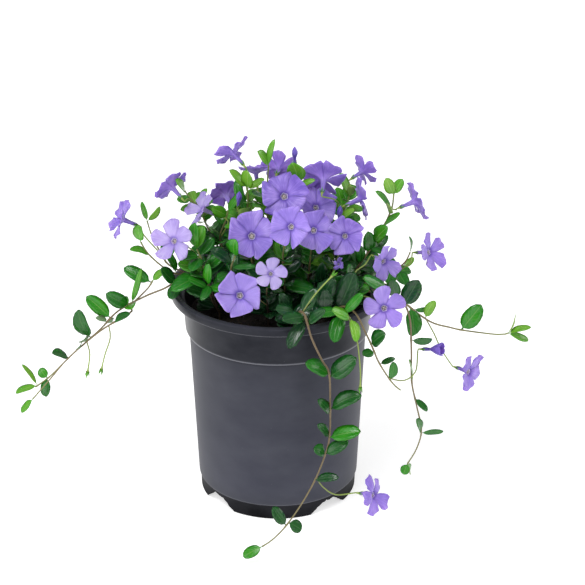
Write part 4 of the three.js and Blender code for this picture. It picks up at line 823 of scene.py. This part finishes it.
        {"on": 0, "from": 0.2, "path": [[24, -72, 181], [31, -66, 187], [37, -60, 191]], "spent": True},
    ],
    "runner_back": [
        {"root": [-10, 40], "path": [[-14, 56, 165], [-18, 72, 169], [-22, 84, 155], [-26, 86, 131],
             [-28, 84, 109], [-34, 88, 91]], "pairs": [0.2, 0.95, 6, 20, 20]},
    ],
    "shoot_back_left": [
        {"root": [-26, 30], "path": [[-29, 34, 169], [-32, 38, 187]],
         "leaves": [[0.95, [-44, 34, 200], 9], [0.98, [-24, 44, 203], 8]],
         "pairs": [0.27, 0.78, 2, 20, 15]},
        {"on": 0, "from": 0.85, "path": [[-33, 42, 191]], "flower": "back_left"},
    ],
    "shoot_back_right": [
        {"root": [16, 36], "path": [[18, 42, 165], [20, 46, 179]],
         "leaves": [[1, [10, 50, 193], 9], [1, [33, 44, 193], 9]], "pairs": [0.3, 0.85, 2, 20, 40]},
        {"on": 0, "from": 0.85, "path": [[21, 49, 181]], "flower": "back_right"},
    ],
}
# How old a stem's leaves look where it ends, from 0, fresh yellow-green, to 1, dark and glossy.
STEM_AGES = {
    "runner_left": 0.6, "shoot_left": 0.4, "shoot_left_back": 0.35, "shoot_left_inner": 0.42,
    "shoot_left_front": 0.45, "shoot_top_left": 0.27, "shoot_top": 0.27, "shoot_middle": 0.4,
    "shoot_middle_left": 0.4, "shoot_middle_front": 0.6, "shoot_middle_right": 0.4,
    "shoot_top_right": 0.35, "shoot_right_high": 0.35, "shoot_right_side": 0.4,
    "shoot_right_inner": 0.55, "shoot_right_tall": 0.3, "shoot_right_far": 0.7,
    "shoot_right_low": 0.6, "shoot_front": 0.7, "tuft_rim_right": 0.62, "runner_right": 0.45,
    "runner_hanging": 0.75, "runner_loop": 0.6, "runner_front": 0.8, "runner_back": 0.5,
    "shoot_back_left": 0.4, "shoot_back_right": 0.4,
}
# The space that the pot takes up: its heights, and its radii at the rim, the collar, inside and
# at the wall.
POT_HEIGHT, RIM_FOOT, COLLAR_FOOT, SOIL_TOP = 158.6, 149, 125, 142
RIM_RADIUS, COLLAR_RADIUS, INSIDE_RADIUS = 75, 67, 61
WALL_FOOT, WALL_TAPER, WALL_HEIGHT = 57.2, 5.6, 126
# Heights of a stem's lower end and of the place where it leaves the soil, and its radii.
ROOT_DEPTH, NECK = 131, 145
MAIN_RADIUS, SIDE_RADIUS, STALK_RADIUS = 1.05, 0.95, 0.65
LAID_SPACING, DRAWN_SPACING = 20, 3
CALYX_LENGTH = 2.6
# The balls that stand for leaves, petals, buds and canes where leaves are placed: their radii,
# their places and the gaps between them.
LEAF_BALL, PETAL_BALL, TUBE_BALL, BUD_BALL = 1.3, 1.5, 1.8, 2
LEAF_ROWS = ((0.3, 0.36), (0.46, 0.46), (0.62, 0.46), (0.78, 0.36), (0.94, 0.1))
PETAL_ROWS = ((0.3, 5), (0.62, 10), (0.9, 15))
CANE_BALLS = 40
CANE_MARGIN = 0.4
LEAF_GAP, FUSED_GAP = 0.5, -0.8
# How a leaf is shortened and turned about its cane until it is clear.
LEAF_SHRINKS = (1, 0.82, 0.66)
LEAF_TURNS = (0, 14, -14, 28, -28, 44, -44)
# Leaves face up and lean to the front, by LIGHT_LEAN, and outwards, by LIGHT_SPREAD for each mm
# from the middle.
LIGHT_LEAN, LIGHT_SPREAD = -0.45, 0.004
# Leaves that are placed by rule: their width against their length, how far opposite ones sway
# from their turn in degrees, the least and the added share of their length, and how far they
# lean along the cane and are lifted.
LEAF_SHAPE = 0.52
PAIR_HABIT = {"sway": 20, "least": 0.82, "more": 0.34, "lean": 0.42, "lift": (0, 0, 0.12)}
FILL_HABIT = {"sway": 24, "least": 0.8, "more": 0.45, "lean": 0.35, "lift": (0, -0.1, 0.1)}

draw_state = 20240517


def next_draw():
    """A seeded draw from 0 to 1."""
    global draw_state
    draw_state = draw_state * 16807 % 2147483647
    return draw_state / 2147483647


def smooth_line(points, spacing):
    """A smooth line through points, with a further point for each spacing."""
    line = []
    last = len(points) - 1
    for i in range(last):
        before, a, b = points[max(i - 1, 0)], points[i], points[i + 1]
        after = points[min(i + 2, last)]
        steps = max(1, math.floor(np.linalg.norm(b - a) / spacing + 0.5))
        for t in np.arange(steps) / steps:
            line.append(0.5 * (2 * a + (b - before) * t + (2 * before - 5 * a + 4 * b - after) * t * t
                               + (3 * a - before - 3 * b + after) * t * t * t))
    line.append(points[-1])
    return np.array(line)


def along(line, share):
    """The point and direction at a share of a line's length."""
    steps = np.linalg.norm(np.diff(line, axis=0), axis=1)
    rest = share * steps.sum()
    i = 0
    while i < len(steps) - 1 and rest > steps[i]:
        rest -= steps[i]
        i += 1
    t = min(rest / steps[i], 1)
    return line[i] + (line[i + 1] - line[i]) * t, unit(line[i + 1] - line[i])


def turned_about(vector, axis, degrees):
    """The vector turned about an axis of length 1."""
    angle = math.radians(degrees)
    upright = axis * np.dot(axis, vector)
    return upright + (vector - upright) * math.cos(angle) + np.cross(axis, vector) * math.sin(angle)


def lay_cane(spec, canes, tops):
    """A cane's centre line, once as it was laid out and once drawn finer."""
    root = spec.get("root")
    if root:
        start = np.array([*root, NECK], float)
    else:
        start = along(canes[spec["on"]]["line"], spec["from"])[0]
    points = [start, *(np.array(p, float) for p in spec["path"])]
    top = tops.get(spec.get("flower") or spec.get("bud"))
    if top:
        points += [top["calyx"] - top["face"] * (CALYX_LENGTH + 1), top["calyx"]]
    line, fine = smooth_line(points, LAID_SPACING), smooth_line(points, DRAWN_SPACING)
    if root:
        foot = np.array([[*root, ROOT_DEPTH]], float)
        line, fine = np.vstack([foot, line]), np.vstack([foot, fine])
    stalk = bool(top) or spec.get("spent", False)
    radius = STALK_RADIUS if stalk else MAIN_RADIUS if root else SIDE_RADIUS
    return {"spec": spec, "line": line, "fine": fine, "radius": radius, "stalk": stalk, "top": top}


# What is already placed, as balls: their middles, radii and whose they are.
MOST_BALLS = 30000
ball_at = np.zeros((MOST_BALLS, 3))
ball_radius = np.zeros(MOST_BALLS)
ball_owner = np.zeros(MOST_BALLS, int)
ball_cane = np.zeros(MOST_BALLS, int)
ball_count = 0


def guard(owner, middles, radii, cane=0):
    """Keeps the space of a piece, as balls. A cane's own balls carry its number."""
    global ball_count
    end = ball_count + len(middles)
    ball_at[ball_count:end] = middles
    ball_radius[ball_count:end] = radii
    ball_owner[ball_count:end] = owner
    ball_cane[ball_count:end] = cane
    ball_count = end


def meets_pot(at, radius):
    """Whether a ball reaches the pot's wall or lip, the soil or the surface below."""
    out, height = math.hypot(at[0], at[1]), at[2]
    if height < radius + LEAF_GAP:
        return True
    if height > POT_HEIGHT + radius + LEAF_GAP:
        return False
    if out < INSIDE_RADIUS + 2:
        return height < SOIL_TOP + 0.5 * radius or out + radius > INSIDE_RADIUS
    wall = WALL_FOOT + height / WALL_HEIGHT * WALL_TAPER
    if height > COLLAR_FOOT:
        wall = RIM_RADIUS if height > RIM_FOOT else COLLAR_RADIUS
    return out < wall + radius + LEAF_GAP


def leaf_frame(base, tip, turn):
    """A leaf's directions: ahead to its tip, out of its upper face, and to its side."""
    ahead = unit(tip - base)
    light = np.array((base[0] * LIGHT_SPREAD, LIGHT_LEAN + base[1] * LIGHT_SPREAD, 1.0))
    face = unit(light - ahead * np.dot(light, ahead))
    face = turned_about(face, ahead, turn)
    return ahead, face, np.cross(ahead, face)


def leaf_balls(leaf):
    """The middles of the balls that stand for a leaf."""
    ahead, _, side = leaf_frame(leaf["base"], leaf["tip"], leaf["turn"])
    length = np.linalg.norm(leaf["tip"] - leaf["base"])
    middles = []
    for share, half in LEAF_ROWS:
        for across in (-0.7, 0, 0.7):
            out = side * across * half * leaf["width"]
            middles.append(leaf["base"] + ahead * share * length + out)
    return np.array(middles)


def is_clear(leaf, middles):
    """Whether a leaf keeps clear of the pot and of all that is already placed."""
    if any(meets_pot(at, LEAF_BALL) for at in middles):
        return False
    others = ball_cane[:ball_count] != leaf["cane"]
    gap = np.where(ball_owner[:ball_count] == leaf["stem"], FUSED_GAP, LEAF_GAP)
    apart = np.linalg.norm(middles[:, None] - ball_at[None, :ball_count], axis=2)
    return bool(np.all((apart > ball_radius[:ball_count] + LEAF_BALL + gap) | ~others))


def place_leaf(stem, cane, share, aim, width, turn):
    """Turns a leaf about its cane, then shortens it, until it is clear. Else there is none."""
    at, ahead = along(cane["line"], share)
    for short in LEAF_SHRINKS:
        for degrees in LEAF_TURNS:
            reach = turned_about(aim - at, ahead, degrees)
            leaf = {"stem": stem, "cane": cane["number"], "base": at + unit(reach) * 0.15,
                    "tip": at + reach * short, "width": width * short, "turn": turn,
                    "share": share, "drawn": cane}
            middles = leaf_balls(leaf)
            if is_clear(leaf, middles):
                guard(stem, middles, LEAF_BALL)
                return [leaf]
    return []


def opposite_aims(cane, share, turn, length, habit, draw):
    """Where two opposite leaves start, the ways that they point, and their lengths."""
    at, ahead = along(cane["line"], share)
    side, up = square_to(ahead)
    aims = []
    for half in (0, 180):
        angle = math.radians(turn + half + habit["sway"] * (draw() - 0.5))
        size = length * (habit["least"] + habit["more"] * draw())
        out = side * math.cos(angle) + up * math.sin(angle)
        aims.append((at, unit(out + ahead * habit["lean"] + np.array(habit["lift"])), size))
    return aims


def pair_leaves(stem, cane, row):
    """Leaves opposite each other on a cane, each next pair turned a quarter."""
    first, last, number, length, turn = row
    leaves = []
    for k in range(number):
        share = first + (last - first) * k / (number - 1) if number > 1 else first
        for at, way, size in opposite_aims(cane, share, turn + 90 * k, length, PAIR_HABIT, next_draw):
            leaves += place_leaf(stem, cane, share, at + way * size, LEAF_SHAPE * size, 0)
    return leaves


owner_numbers = {name: number for number, name in enumerate([*FLOWERS, *BUDS, *STEMS])}
tops = {top["name"]: top for top in [*flowers, *buds]}
for flower in flowers:
    side, up = square_to(flower["face"])
    owner = owner_numbers[flower["name"]]
    tube = [flower["calyx"] + (flower["open"] - flower["calyx"]) * t for t in (0.2, 0.5, 0.8)]
    guard(owner, tube, TUBE_BALL)
    spread = 0.6 if flower["form"] == "shut" else 1
    middle = flower["open"] + flower["face"] * 0.06 * flower["radius"]
    for share, count in PETAL_ROWS:
        angles = 2 * math.pi * np.arange(count) / count
        ring = np.outer(np.cos(angles), side) + np.outer(np.sin(angles), up)
        guard(owner, middle + ring * spread * share * flower["radius"], PETAL_BALL)
for bud in buds:
    heights = np.array((0.2, 0.45, 0.7, 0.95)) * bud["length"]
    guard(owner_numbers[bud["name"]], bud["calyx"] + np.outer(heights, bud["face"]), BUD_BALL)
plants = []
cane_number = 0  # canes are numbered from 1, because balls that aren't a cane's carry a 0
for name, specs in STEMS.items():
    canes = []
    for spec in specs:
        canes.append(lay_cane(spec, canes, tops))
    for cane in canes:
        cane_number += 1
        cane["number"] = cane_number
        middles = [along(cane["line"], i / CANE_BALLS)[0] for i in range(CANE_BALLS + 1)]
        guard(owner_numbers[name], middles, cane["radius"] + CANE_MARGIN, cane["number"])
    plants.append({"name": name, "number": owner_numbers[name], "canes": canes, "leaves": []})
for plant in plants:
    for cane in plant["canes"]:
        for share, tip, width, *turn in cane["spec"].get("leaves", []):
            aim = np.array(tip, float)
            plant["leaves"] += place_leaf(plant["number"], cane, share, aim, width, sum(turn))
for plant in plants:
    for cane in plant["canes"]:
        if "pairs" in cane["spec"]:
            plant["leaves"] += pair_leaves(plant["number"], cane, cane["spec"]["pairs"])

# Smaller leaves fill the crown between the shoots, on the lower part of each main cane. None
# stands in front of a flower's face. Lengths are in mm along the cane.
FILL_START, FILL_END, FILL_SPACING = 17.0, 92, 7.5
FILL_RADIUS = 62
FILL_LENGTH = 15.0
FACE_DEPTH, FACE_MARGIN = 26, 2
fill_draw = np.random.default_rng(3)


def covers_flower(point):
    """Whether a point lies close in front of a flower's petals."""
    for flower in flowers:
        offset = point - flower["open"]
        height = np.dot(offset, flower["face"])
        aside = np.linalg.norm(offset - flower["face"] * height)
        if -FACE_MARGIN < height < FACE_DEPTH and aside < flower["radius"] + FACE_MARGIN:
            return True
    return False


for plant in plants:
    for cane in plant["canes"]:
        if cane["stalk"]:
            continue
        steps = np.linalg.norm(np.diff(cane["line"], axis=0), axis=1)
        length = steps.sum()
        end = min(length - 4, FILL_END) if cane["spec"].get("root") else 0
        place = FILL_START + 4 * fill_draw.random()
        turn = 360 * fill_draw.random()
        while place < end:
            share = place / length
            spot = along(cane["line"], share)[0]
            if math.hypot(spot[0], spot[1]) > FILL_RADIUS:
                break
            aims = opposite_aims(cane, share, turn, FILL_LENGTH, FILL_HABIT, fill_draw.random)
            for at, way, size in aims:
                tip = at + way * size
                if not covers_flower(tip) and not covers_flower(at + way * size * 0.6):
                    width = LEAF_SHAPE * size
                    plant["leaves"] += place_leaf(plant["number"], cane, share, tip, width, 0)
            turn += 90 + 10 * (fill_draw.random() - 0.5)
            place += FILL_SPACING * (0.8 + 0.4 * fill_draw.random())

# One leaf and one sepal: each a flat sheet doubled, with its rims met, later bent in its mesh.
# Stations are shares of the length, and halves are half widths there, as shares of the width.
LEAF_STATIONS = np.array([0, 0.09, 0.18, 0.31, 0.46, 0.63, 0.8, 0.93, 1])
LEAF_HALVES = np.array([0.04, 0.06, 0.34, 0.51, 0.58, 0.57, 0.49, 0.31, 0.05])
LEAF_THICKNESS = 0.45
LEAF_STALK = 0.12  # the share of its length that is a leaf's stalk
SEPAL_HALVES = np.array([0.5, 0.48, 0.4, 0.22, 0.02])
SEPALS = 5
# How far sepals spread, and their length and width, with the flower on and after it has dropped.
FRESH_SEPALS, SPENT_SEPALS = (0.3, 3.8, 1.1), (0.12, 4.6, 1.7)
# A drawn cane against its solid, how much thinner it is at its tip, and how much thicker and
# how far along at a leaf pair and below a flower.
CANE_SHARE, CANE_TAPER = 0.72, 0.35
JOINT_SWELL, JOINT_REACH = 0.3, 1.6
FLARE, FLARE_REACH = 1.1, 1.8


def blade_template(name, steps_along, steps_across):
    """A double sheet with x from 0 to 1 along it, y from -1 to 1 across and z its side."""
    bpy.ops.object.select_all(action="DESELECT")
    bpy.ops.mesh.primitive_grid_add(x_subdivisions=steps_along, y_subdivisions=steps_across, size=1)
    blade = bpy.context.object
    blade.name = name
    bpy.ops.object.mode_set(mode="EDIT")
    bpy.ops.mesh.select_all(action="SELECT")
    bpy.ops.transform.translate(value=(0.5, 0, 0.5))
    bpy.ops.transform.resize(value=(1, 2, 1), center_override=(0, 0, 0))
    bpy.ops.mesh.duplicate_move(TRANSFORM_OT_translate={"value": (0, 0, -1)})
    bpy.ops.mesh.flip_normals()
    bpy.ops.object.mode_set(mode="OBJECT")
    for corner in blade.data.vertices:
        if abs(abs(corner.co.y) - 1) < 1e-4 or corner.co.x < 1e-4 or corner.co.x > 0.9999:
            corner.co.z = 0
    spots = blade.data.uv_layers[0].data
    for face in blade.data.polygons:
        under = 2.0 if face.normal.z < 0 else 0.0
        for index in face.loop_indices:
            corner = blade.data.vertices[blade.data.loops[index].vertex_index].co
            spots[index].uv = (corner.x + under, 0.5 + 0.5 * corner.y)
    bpy.ops.object.mode_set(mode="EDIT")
    bpy.ops.mesh.select_all(action="SELECT")
    bpy.ops.mesh.remove_doubles(threshold=1e-4)
    bpy.ops.object.mode_set(mode="OBJECT")
    bpy.ops.object.shade_smooth()
    return blade


def template_points(blade):
    """A template's points as an array."""
    points = np.zeros(3 * len(blade.data.vertices))
    blade.data.vertices.foreach_get("co", points)
    return points.reshape(-1, 3)


def bent_copy(blade, points, age_and_shade):
    """A copy of a template with its own mesh, with its points moved and its age, with any painted
    shade, noted.
    """
    piece = blade.copy()
    piece.data = blade.data.copy()
    piece.data.vertices.foreach_set("co", (points * MM).astype(np.float32).ravel())
    age_and_shade_values = piece.data.attributes.new("age_and_shade", "FLOAT", "POINT")
    age_and_shade_values.data.foreach_set("value", np.full(len(points), age_and_shade, np.float32))
    bpy.context.collection.objects.link(piece)
    return piece


leaf_blade = blade_template("leaf_blade", 8, 4)
sepal_blade = blade_template("sepal_blade", 4, 2)
leaf_grid, sepal_grid = template_points(leaf_blade), template_points(sepal_blade)
look = np.random.default_rng(29)


def leaf_points(leaf):
    """A leaf's points: a short stalk, then an oval blade that folds and arches a little."""
    ahead, face, side = leaf_frame(leaf["base"], leaf["tip"], leaf["turn"])
    length = np.linalg.norm(leaf["tip"] - leaf["base"])
    stations = np.linspace(0, 1, len(LEAF_STATIONS))
    share = np.interp(leaf_grid[:, 0], stations, LEAF_STATIONS)
    half = np.interp(leaf_grid[:, 0], stations, LEAF_HALVES) * leaf["width"]
    half = np.maximum(half, 0.02)
    across = leaf_grid[:, 1] * half
    rim = np.abs(leaf_grid[:, 1])
    arch = length * share * (1 - share) * (0.2 + look.normal(0, 0.025))
    curl = look.normal(0, 0.05) * length * share ** 3
    fold = 0.24 * rim ** 1.4 * half
    wave = 0.05 * leaf["width"] * np.sin(7 * share + look.uniform(0, 6.28)) * rim ** 2
    thick = LEAF_THICKNESS * leaf_grid[:, 2] * np.where(share < LEAF_STALK, 1.2, 1.0 - 0.3 * rim)
    height = arch + curl + fold + wave * (share > 0.2) + thick
    sway = look.normal(0, 0.04) * length * np.sin(math.pi * share)
    return (leaf["base"] + np.outer(share * length, ahead) + np.outer(across + sway, side)
            + np.outer(height, face))


def sepal_points(base, ahead, face, length, width):
    """A sepal's points: a narrow blade that stands along the foot of the tube."""
    side = np.cross(ahead, face)
    share, across = sepal_grid[:, 0], sepal_grid[:, 1]
    half = np.interp(share, np.linspace(0, 1, len(SEPAL_HALVES)), SEPAL_HALVES) * width
    height = 0.22 * sepal_grid[:, 2] + 0.12 * length * share ** 2
    return (base + np.outer(share * length, ahead) + np.outer(across * half, side)
            + np.outer(height, face))


def calyx_pieces(cane, age_and_shade):
    """Five narrow sepals round the end of a stalk."""
    end, ahead = cane["fine"][-1], unit(cane["fine"][-1] - cane["fine"][-2])
    if cane["top"]:
        ahead = cane["top"]["face"]
    side, up = square_to(ahead)
    spread, length, width = SPENT_SEPALS if cane["spec"].get("spent") else FRESH_SEPALS
    pieces = []
    for number in range(SEPALS):
        angle = 2 * math.pi * number / SEPALS + 0.3
        out = side * math.cos(angle) + up * math.sin(angle)
        base = end - ahead * 0.5 + out * 0.95
        points = sepal_points(base, unit(ahead + out * spread), out, length, width)
        pieces.append(bent_copy(sepal_blade, points, age_and_shade))
    return pieces


CROWN_RADIUS = 70  # within it, what stands low in the crown is painted darker, as painted shade


def cane_piece(cane, age_and_shade, joints):
    """A cane as a tube that swells a little at its leaf pairs and flares below a flower."""
    line = cane["fine"]
    steps = np.linalg.norm(np.diff(line, axis=0), axis=1)
    length = steps.sum()
    places = np.concatenate([[0], np.cumsum(steps)]) / length
    radii = CANE_SHARE * cane["radius"] * (1 - (0 if cane["stalk"] else CANE_TAPER) * places)
    for joint in joints:
        radii *= 1 + JOINT_SWELL * np.exp(-(((places - joint) * length) / JOINT_REACH) ** 2)
    if cane["stalk"]:
        radii *= 1 + FLARE * np.exp(-(((places - 1) * length) / FLARE_REACH) ** 2)
    curve = bpy.data.curves.new("cane", "CURVE")
    curve.dimensions = "3D"
    curve.bevel_depth = MM
    curve.bevel_resolution = 2
    curve.use_fill_caps = True
    spline = curve.splines.new("POLY")
    spline.points.add(len(line) - 1)
    for point, at, radius in zip(spline.points, line, radii):
        point.co = (*(at * MM), 1)
        point.radius = radius
    piece = bpy.data.objects.new("cane", curve)
    bpy.context.collection.objects.link(piece)
    bpy.ops.object.select_all(action="DESELECT")
    piece.select_set(True)
    bpy.context.view_layer.objects.active = piece
    bpy.ops.object.convert(target="MESH")
    piece = bpy.context.object
    points = np.array([v.co for v in piece.data.vertices]) / MM
    nearest = np.argmin(np.linalg.norm(points[:, None] - line[None], axis=2), axis=1)
    age_and_shade_values = piece.data.attributes.new("age_and_shade", "FLOAT", "POINT")
    younger = 0.45 * places[nearest] ** (1 if cane["stalk"] else 5)
    # Painted shade: low in the crown, a cane's age value is raised, which paints it darker.
    inside = np.hypot(points[:, 0], points[:, 1]) < CROWN_RADIUS
    shaded = np.clip((185 - points[:, 2]) / 30, 0, 1) * inside
    age_and_shade_values.data.foreach_set("value", (age_and_shade - younger + 0.45 * shaded).astype(np.float32))
    if not piece.data.uv_layers:
        piece.data.uv_layers.new(name="UVMap")
    piece.data.uv_layers[0].name = "UVMap"
    return piece


# Leaf skin: leathery and smooth, so it shines; dark above with a paler midrib, dull below.
leaf_skin, tree, shader = new_material("periwinkle_leaf", Roughness=0.36, Specular_IOR_Level=0.45,
                                       Subsurface_Weight=0.08, Subsurface_Scale=0.0015)
shader.inputs["Subsurface Radius"].default_value = (0.5, 1.0, 0.2)
where = add_node(tree, "SeparateXYZ", Vector=add_node(tree, "UVMap").outputs["UV"])
under = add_node(tree, "Math", {"operation": "GREATER_THAN"}, _0=where.outputs["X"], _1=1.5).outputs[0]
out = add_node(tree, "Math", {"operation": "FRACT"}, _0=where.outputs["X"]).outputs[0]
off = add_node(tree, "Math", {"operation": "SUBTRACT"}, _0=where.outputs["Y"], _1=0.5).outputs[0]
off = add_node(tree, "Math", {"operation": "ABSOLUTE"}, _0=off).outputs[0]
slant = add_node(tree, "Math", {"operation": "MULTIPLY_ADD"}, _0=off, _1=-0.55, _2=out).outputs[0]
rows = add_node(tree, "Math", {"operation": "MULTIPLY"}, _0=slant, _1=9.0).outputs[0]
saw = add_node(tree, "Math", {"operation": "PINGPONG"}, _0=rows, _1=0.5).outputs[0]
side_vein = add_node(tree, "MapRange", Value=saw, _1=0.0, _2=0.09, _3=1.0, _4=0.0).outputs["Result"]
midrib = add_node(tree, "MapRange", Value=off, _1=0.012, _2=0.04, _3=1.0, _4=0.0).outputs["Result"]
# The age value also holds painted shade, which paints leaves low in the crown darker.
age_and_shade = add_node(tree, "Attribute", {"attribute_name": "age_and_shade"}).outputs["Fac"]
place = add_node(tree, "TexCoord").outputs["Object"]
mottle = add_node(tree, "TexNoise", Vector=place, Scale=130.0, Detail=3.0).outputs["Fac"]
aged_and_shaded = add_node(tree, "Math", {"operation": "MULTIPLY_ADD"}, _0=mottle, _1=0.3, _2=age_and_shade).outputs[0]
aged_and_shaded = add_node(tree, "Math", {"operation": "SUBTRACT"}, _0=aged_and_shaded, _1=0.15).outputs[0]
above = ramp(tree, aged_and_shaded, (0.0, "#78ac34"), (0.18, "#4f9c20"), (0.42, "#238011"), (0.7, "#165a19"),
             (1.0, "#11391d"))
below = ramp(tree, aged_and_shaded, (0.1, "#93b35e"), (0.5, "#64884f"), (1.0, "#4d6b50"))
rib = ramp(tree, aged_and_shaded, (0.1, "#a6c66c"), (0.6, "#55853f"), (1.0, "#3f6640"))
sides = add_node(tree, "Mix", {"data_type": "RGBA"}, _0=under, _6=above, _7=below).outputs[2]
faint = add_node(tree, "Math", {"operation": "MULTIPLY"}, _0=side_vein, _1=0.22).outputs[0]
strong = add_node(tree, "Math", {"operation": "MULTIPLY"}, _0=midrib, _1=0.42).outputs[0]
lines = add_node(tree, "Math", {"operation": "MAXIMUM"}, _0=faint, _1=strong).outputs[0]
veined = add_node(tree, "Mix", {"data_type": "RGBA"}, _0=lines, _6=sides, _7=rib).outputs[2]
tree.links.new(veined, shader.inputs["Base Color"])
dull = add_node(tree, "MapRange", Value=under, _1=0.0, _2=1.0, _3=0.2, _4=0.55).outputs["Result"]
tree.links.new(dull, shader.inputs["Roughness"])
raised = add_node(tree, "Math", {"operation": "MULTIPLY_ADD"}, _0=lines, _1=-1.0, _2=mottle).outputs[0]
relief = add_node(tree, "Bump", Height=raised, Strength=0.35, Distance=0.4 * MM)
tree.links.new(relief.outputs["Normal"], shader.inputs["Normal"])

# Stem skin: brown and woody where it is old, through red-brown to yellow-green at the tip.
stem_skin, tree, shader = new_material("periwinkle_cane", Roughness=0.5)
# The age value also holds painted shade, which takes canes low in the crown towards the darkest brown.
age_and_shade = add_node(tree, "Attribute", {"attribute_name": "age_and_shade"}).outputs["Fac"]
place = add_node(tree, "TexCoord").outputs["Object"]
grain = add_node(tree, "TexNoise", Vector=place, Scale=600.0, Detail=2.0).outputs["Fac"]
aged_and_shaded = add_node(tree, "Math", {"operation": "MULTIPLY_ADD"}, _0=grain, _1=0.25, _2=age_and_shade).outputs[0]
aged_and_shaded = add_node(tree, "Math", {"operation": "MULTIPLY"}, _0=aged_and_shaded, _1=0.7).outputs[0]
bark = ramp(tree, aged_and_shaded, (0.14, "#8da54b"), (0.35, "#7d8549"), (0.56, "#7e754c"), (0.74, "#715f45"),
            (0.98, "#33281f"))
tree.links.new(bark, shader.inputs["Base Color"])
ridges = add_node(tree, "Bump", Height=grain, Strength=0.3, Distance=0.2 * MM)
tree.links.new(ridges.outputs["Normal"], shader.inputs["Normal"])

# Each stem's canes, sepals and leaves become one piece. Ages run from 0, fresh yellow-green, to 1; low
# in the crown they also hold painted shade.
TIP_SHARE = 0.93  # the share of a cane's length past which its leaves are the youngest
# Painted shade: leaves in the crown are painted darker the lower they stand. These give the height
# where that starts, the depth over which it grows and how much it adds.
CROWN_TOP, CROWN_DEPTH, CROWN_SHADE = 205, 50, 0.42
FRESH_LEAVES, FRESH_BY = 0.14, 0.4


def leaf_age_and_shade(leaf, stem_age):
    """How old a leaf looks, younger to the tip and now and then fresh, with painted shade added low in
    the crown.
    """
    younger = 0.5 * stem_age * max(0.0, (leaf["share"] - TIP_SHARE) / (1 - TIP_SHARE))
    age_and_shade = stem_age + 0.25 * (0.6 - leaf["share"]) - younger
    # Painted shade, deeper the lower a leaf stands in the crown.
    if math.hypot(leaf["base"][0], leaf["base"][1]) < CROWN_RADIUS:
        age_and_shade += CROWN_SHADE * max(0.0, min(1.0, (CROWN_TOP - leaf["base"][2]) / CROWN_DEPTH))
    if look.random() < FRESH_LEAVES:
        age_and_shade -= FRESH_BY
    return min(max(age_and_shade + look.normal(0, 0.1), 0.06), 1.0)


leaf_blade.data.materials.append(leaf_skin)
sepal_blade.data.materials.append(leaf_skin)
for plant in plants:
    stem_age = STEM_AGES[plant["name"]]
    pieces = []
    for cane in plant["canes"]:
        joints = sorted({leaf["share"] for leaf in plant["leaves"] if leaf["drawn"] is cane})
        cane_age = 0.25 + 0.2 * stem_age if cane["stalk"] else 0.55 + 0.5 * stem_age
        piece = cane_piece(cane, cane_age, joints)
        piece.data.materials.append(stem_skin)
        pieces.append(piece)
        if cane["stalk"]:
            pieces += calyx_pieces(cane, 0.2)
    for leaf in plant["leaves"]:
        age_and_shade = leaf_age_and_shade(leaf, stem_age)
        pieces.append(bent_copy(leaf_blade, leaf_points(leaf), age_and_shade))
    foliage = join_pieces(pieces, "leafy_" + plant["name"])
    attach(foliage, "root")
    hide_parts(plant["name"])
bpy.data.objects.remove(leaf_blade)
bpy.data.objects.remove(sepal_blade)

# The studio: a wide pale floor, soft light from above and the left, and the camera in front.
FLOOR_SIZE = 20  # metres
bpy.ops.object.select_all(action="DESELECT")
bpy.ops.mesh.primitive_plane_add(size=FLOOR_SIZE)
floor = bpy.context.object
floor.name = "floor"
paper, tree, shader = new_material("floor_paper", Roughness=0.9)
shader.inputs["Base Color"].default_value = linear("#e8e8e8")
shader.inputs["Emission Color"].default_value = linear("#ffffff")
shader.inputs["Emission Strength"].default_value = 0.62
floor.data.materials.append(paper)

world = bpy.data.worlds.new("studio")
bpy.context.scene.world = world
world.use_nodes = True
world.node_tree.nodes["Background"].inputs["Color"].default_value = (1, 1, 1, 1)
world.node_tree.nodes["Background"].inputs["Strength"].default_value = 0.42


def soft_light(name, place, aim, size, power):
    """A square soft light that shines from a place towards an aim, in metres and watts."""
    light = bpy.data.lights.new(name, "AREA")
    light.size = size
    light.energy = power
    lamp = bpy.data.objects.new(name, light)
    lamp.location = place
    turn = np.array(aim, float) - np.array(place, float)
    lamp.rotation_mode = "QUATERNION"
    lamp.rotation_quaternion = Vector(turn).to_track_quat("-Z", "Y")
    bpy.context.collection.objects.link(lamp)


soft_light("light_above", (-0.5, -0.9, 2.0), (0, 0, 0.15), 0.9, 24)
soft_light("light_left", (-1.6, -0.9, 0.7), (0, 0, 0.12), 1.0, 8)
soft_light("light_right", (1.7, 0.3, 0.7), (0, 0, 0.12), 0.8, 7)
soft_light("light_front", (0.3, -1.9, 0.35), (0, 0, 0.15), 1.2, 6)

camera = bpy.data.cameras.new("camera")
camera.lens = 113.97
camera.sensor_width = 36
eye = bpy.data.objects.new("camera", camera)
eye.location = (0.0105, -1.1801, 0.6963)
eye.rotation_euler = (math.radians(65.2), 0, 0)
bpy.context.collection.objects.link(eye)
bpy.context.scene.camera = eye
bpy.context.scene.view_settings.view_transform = "Standard"
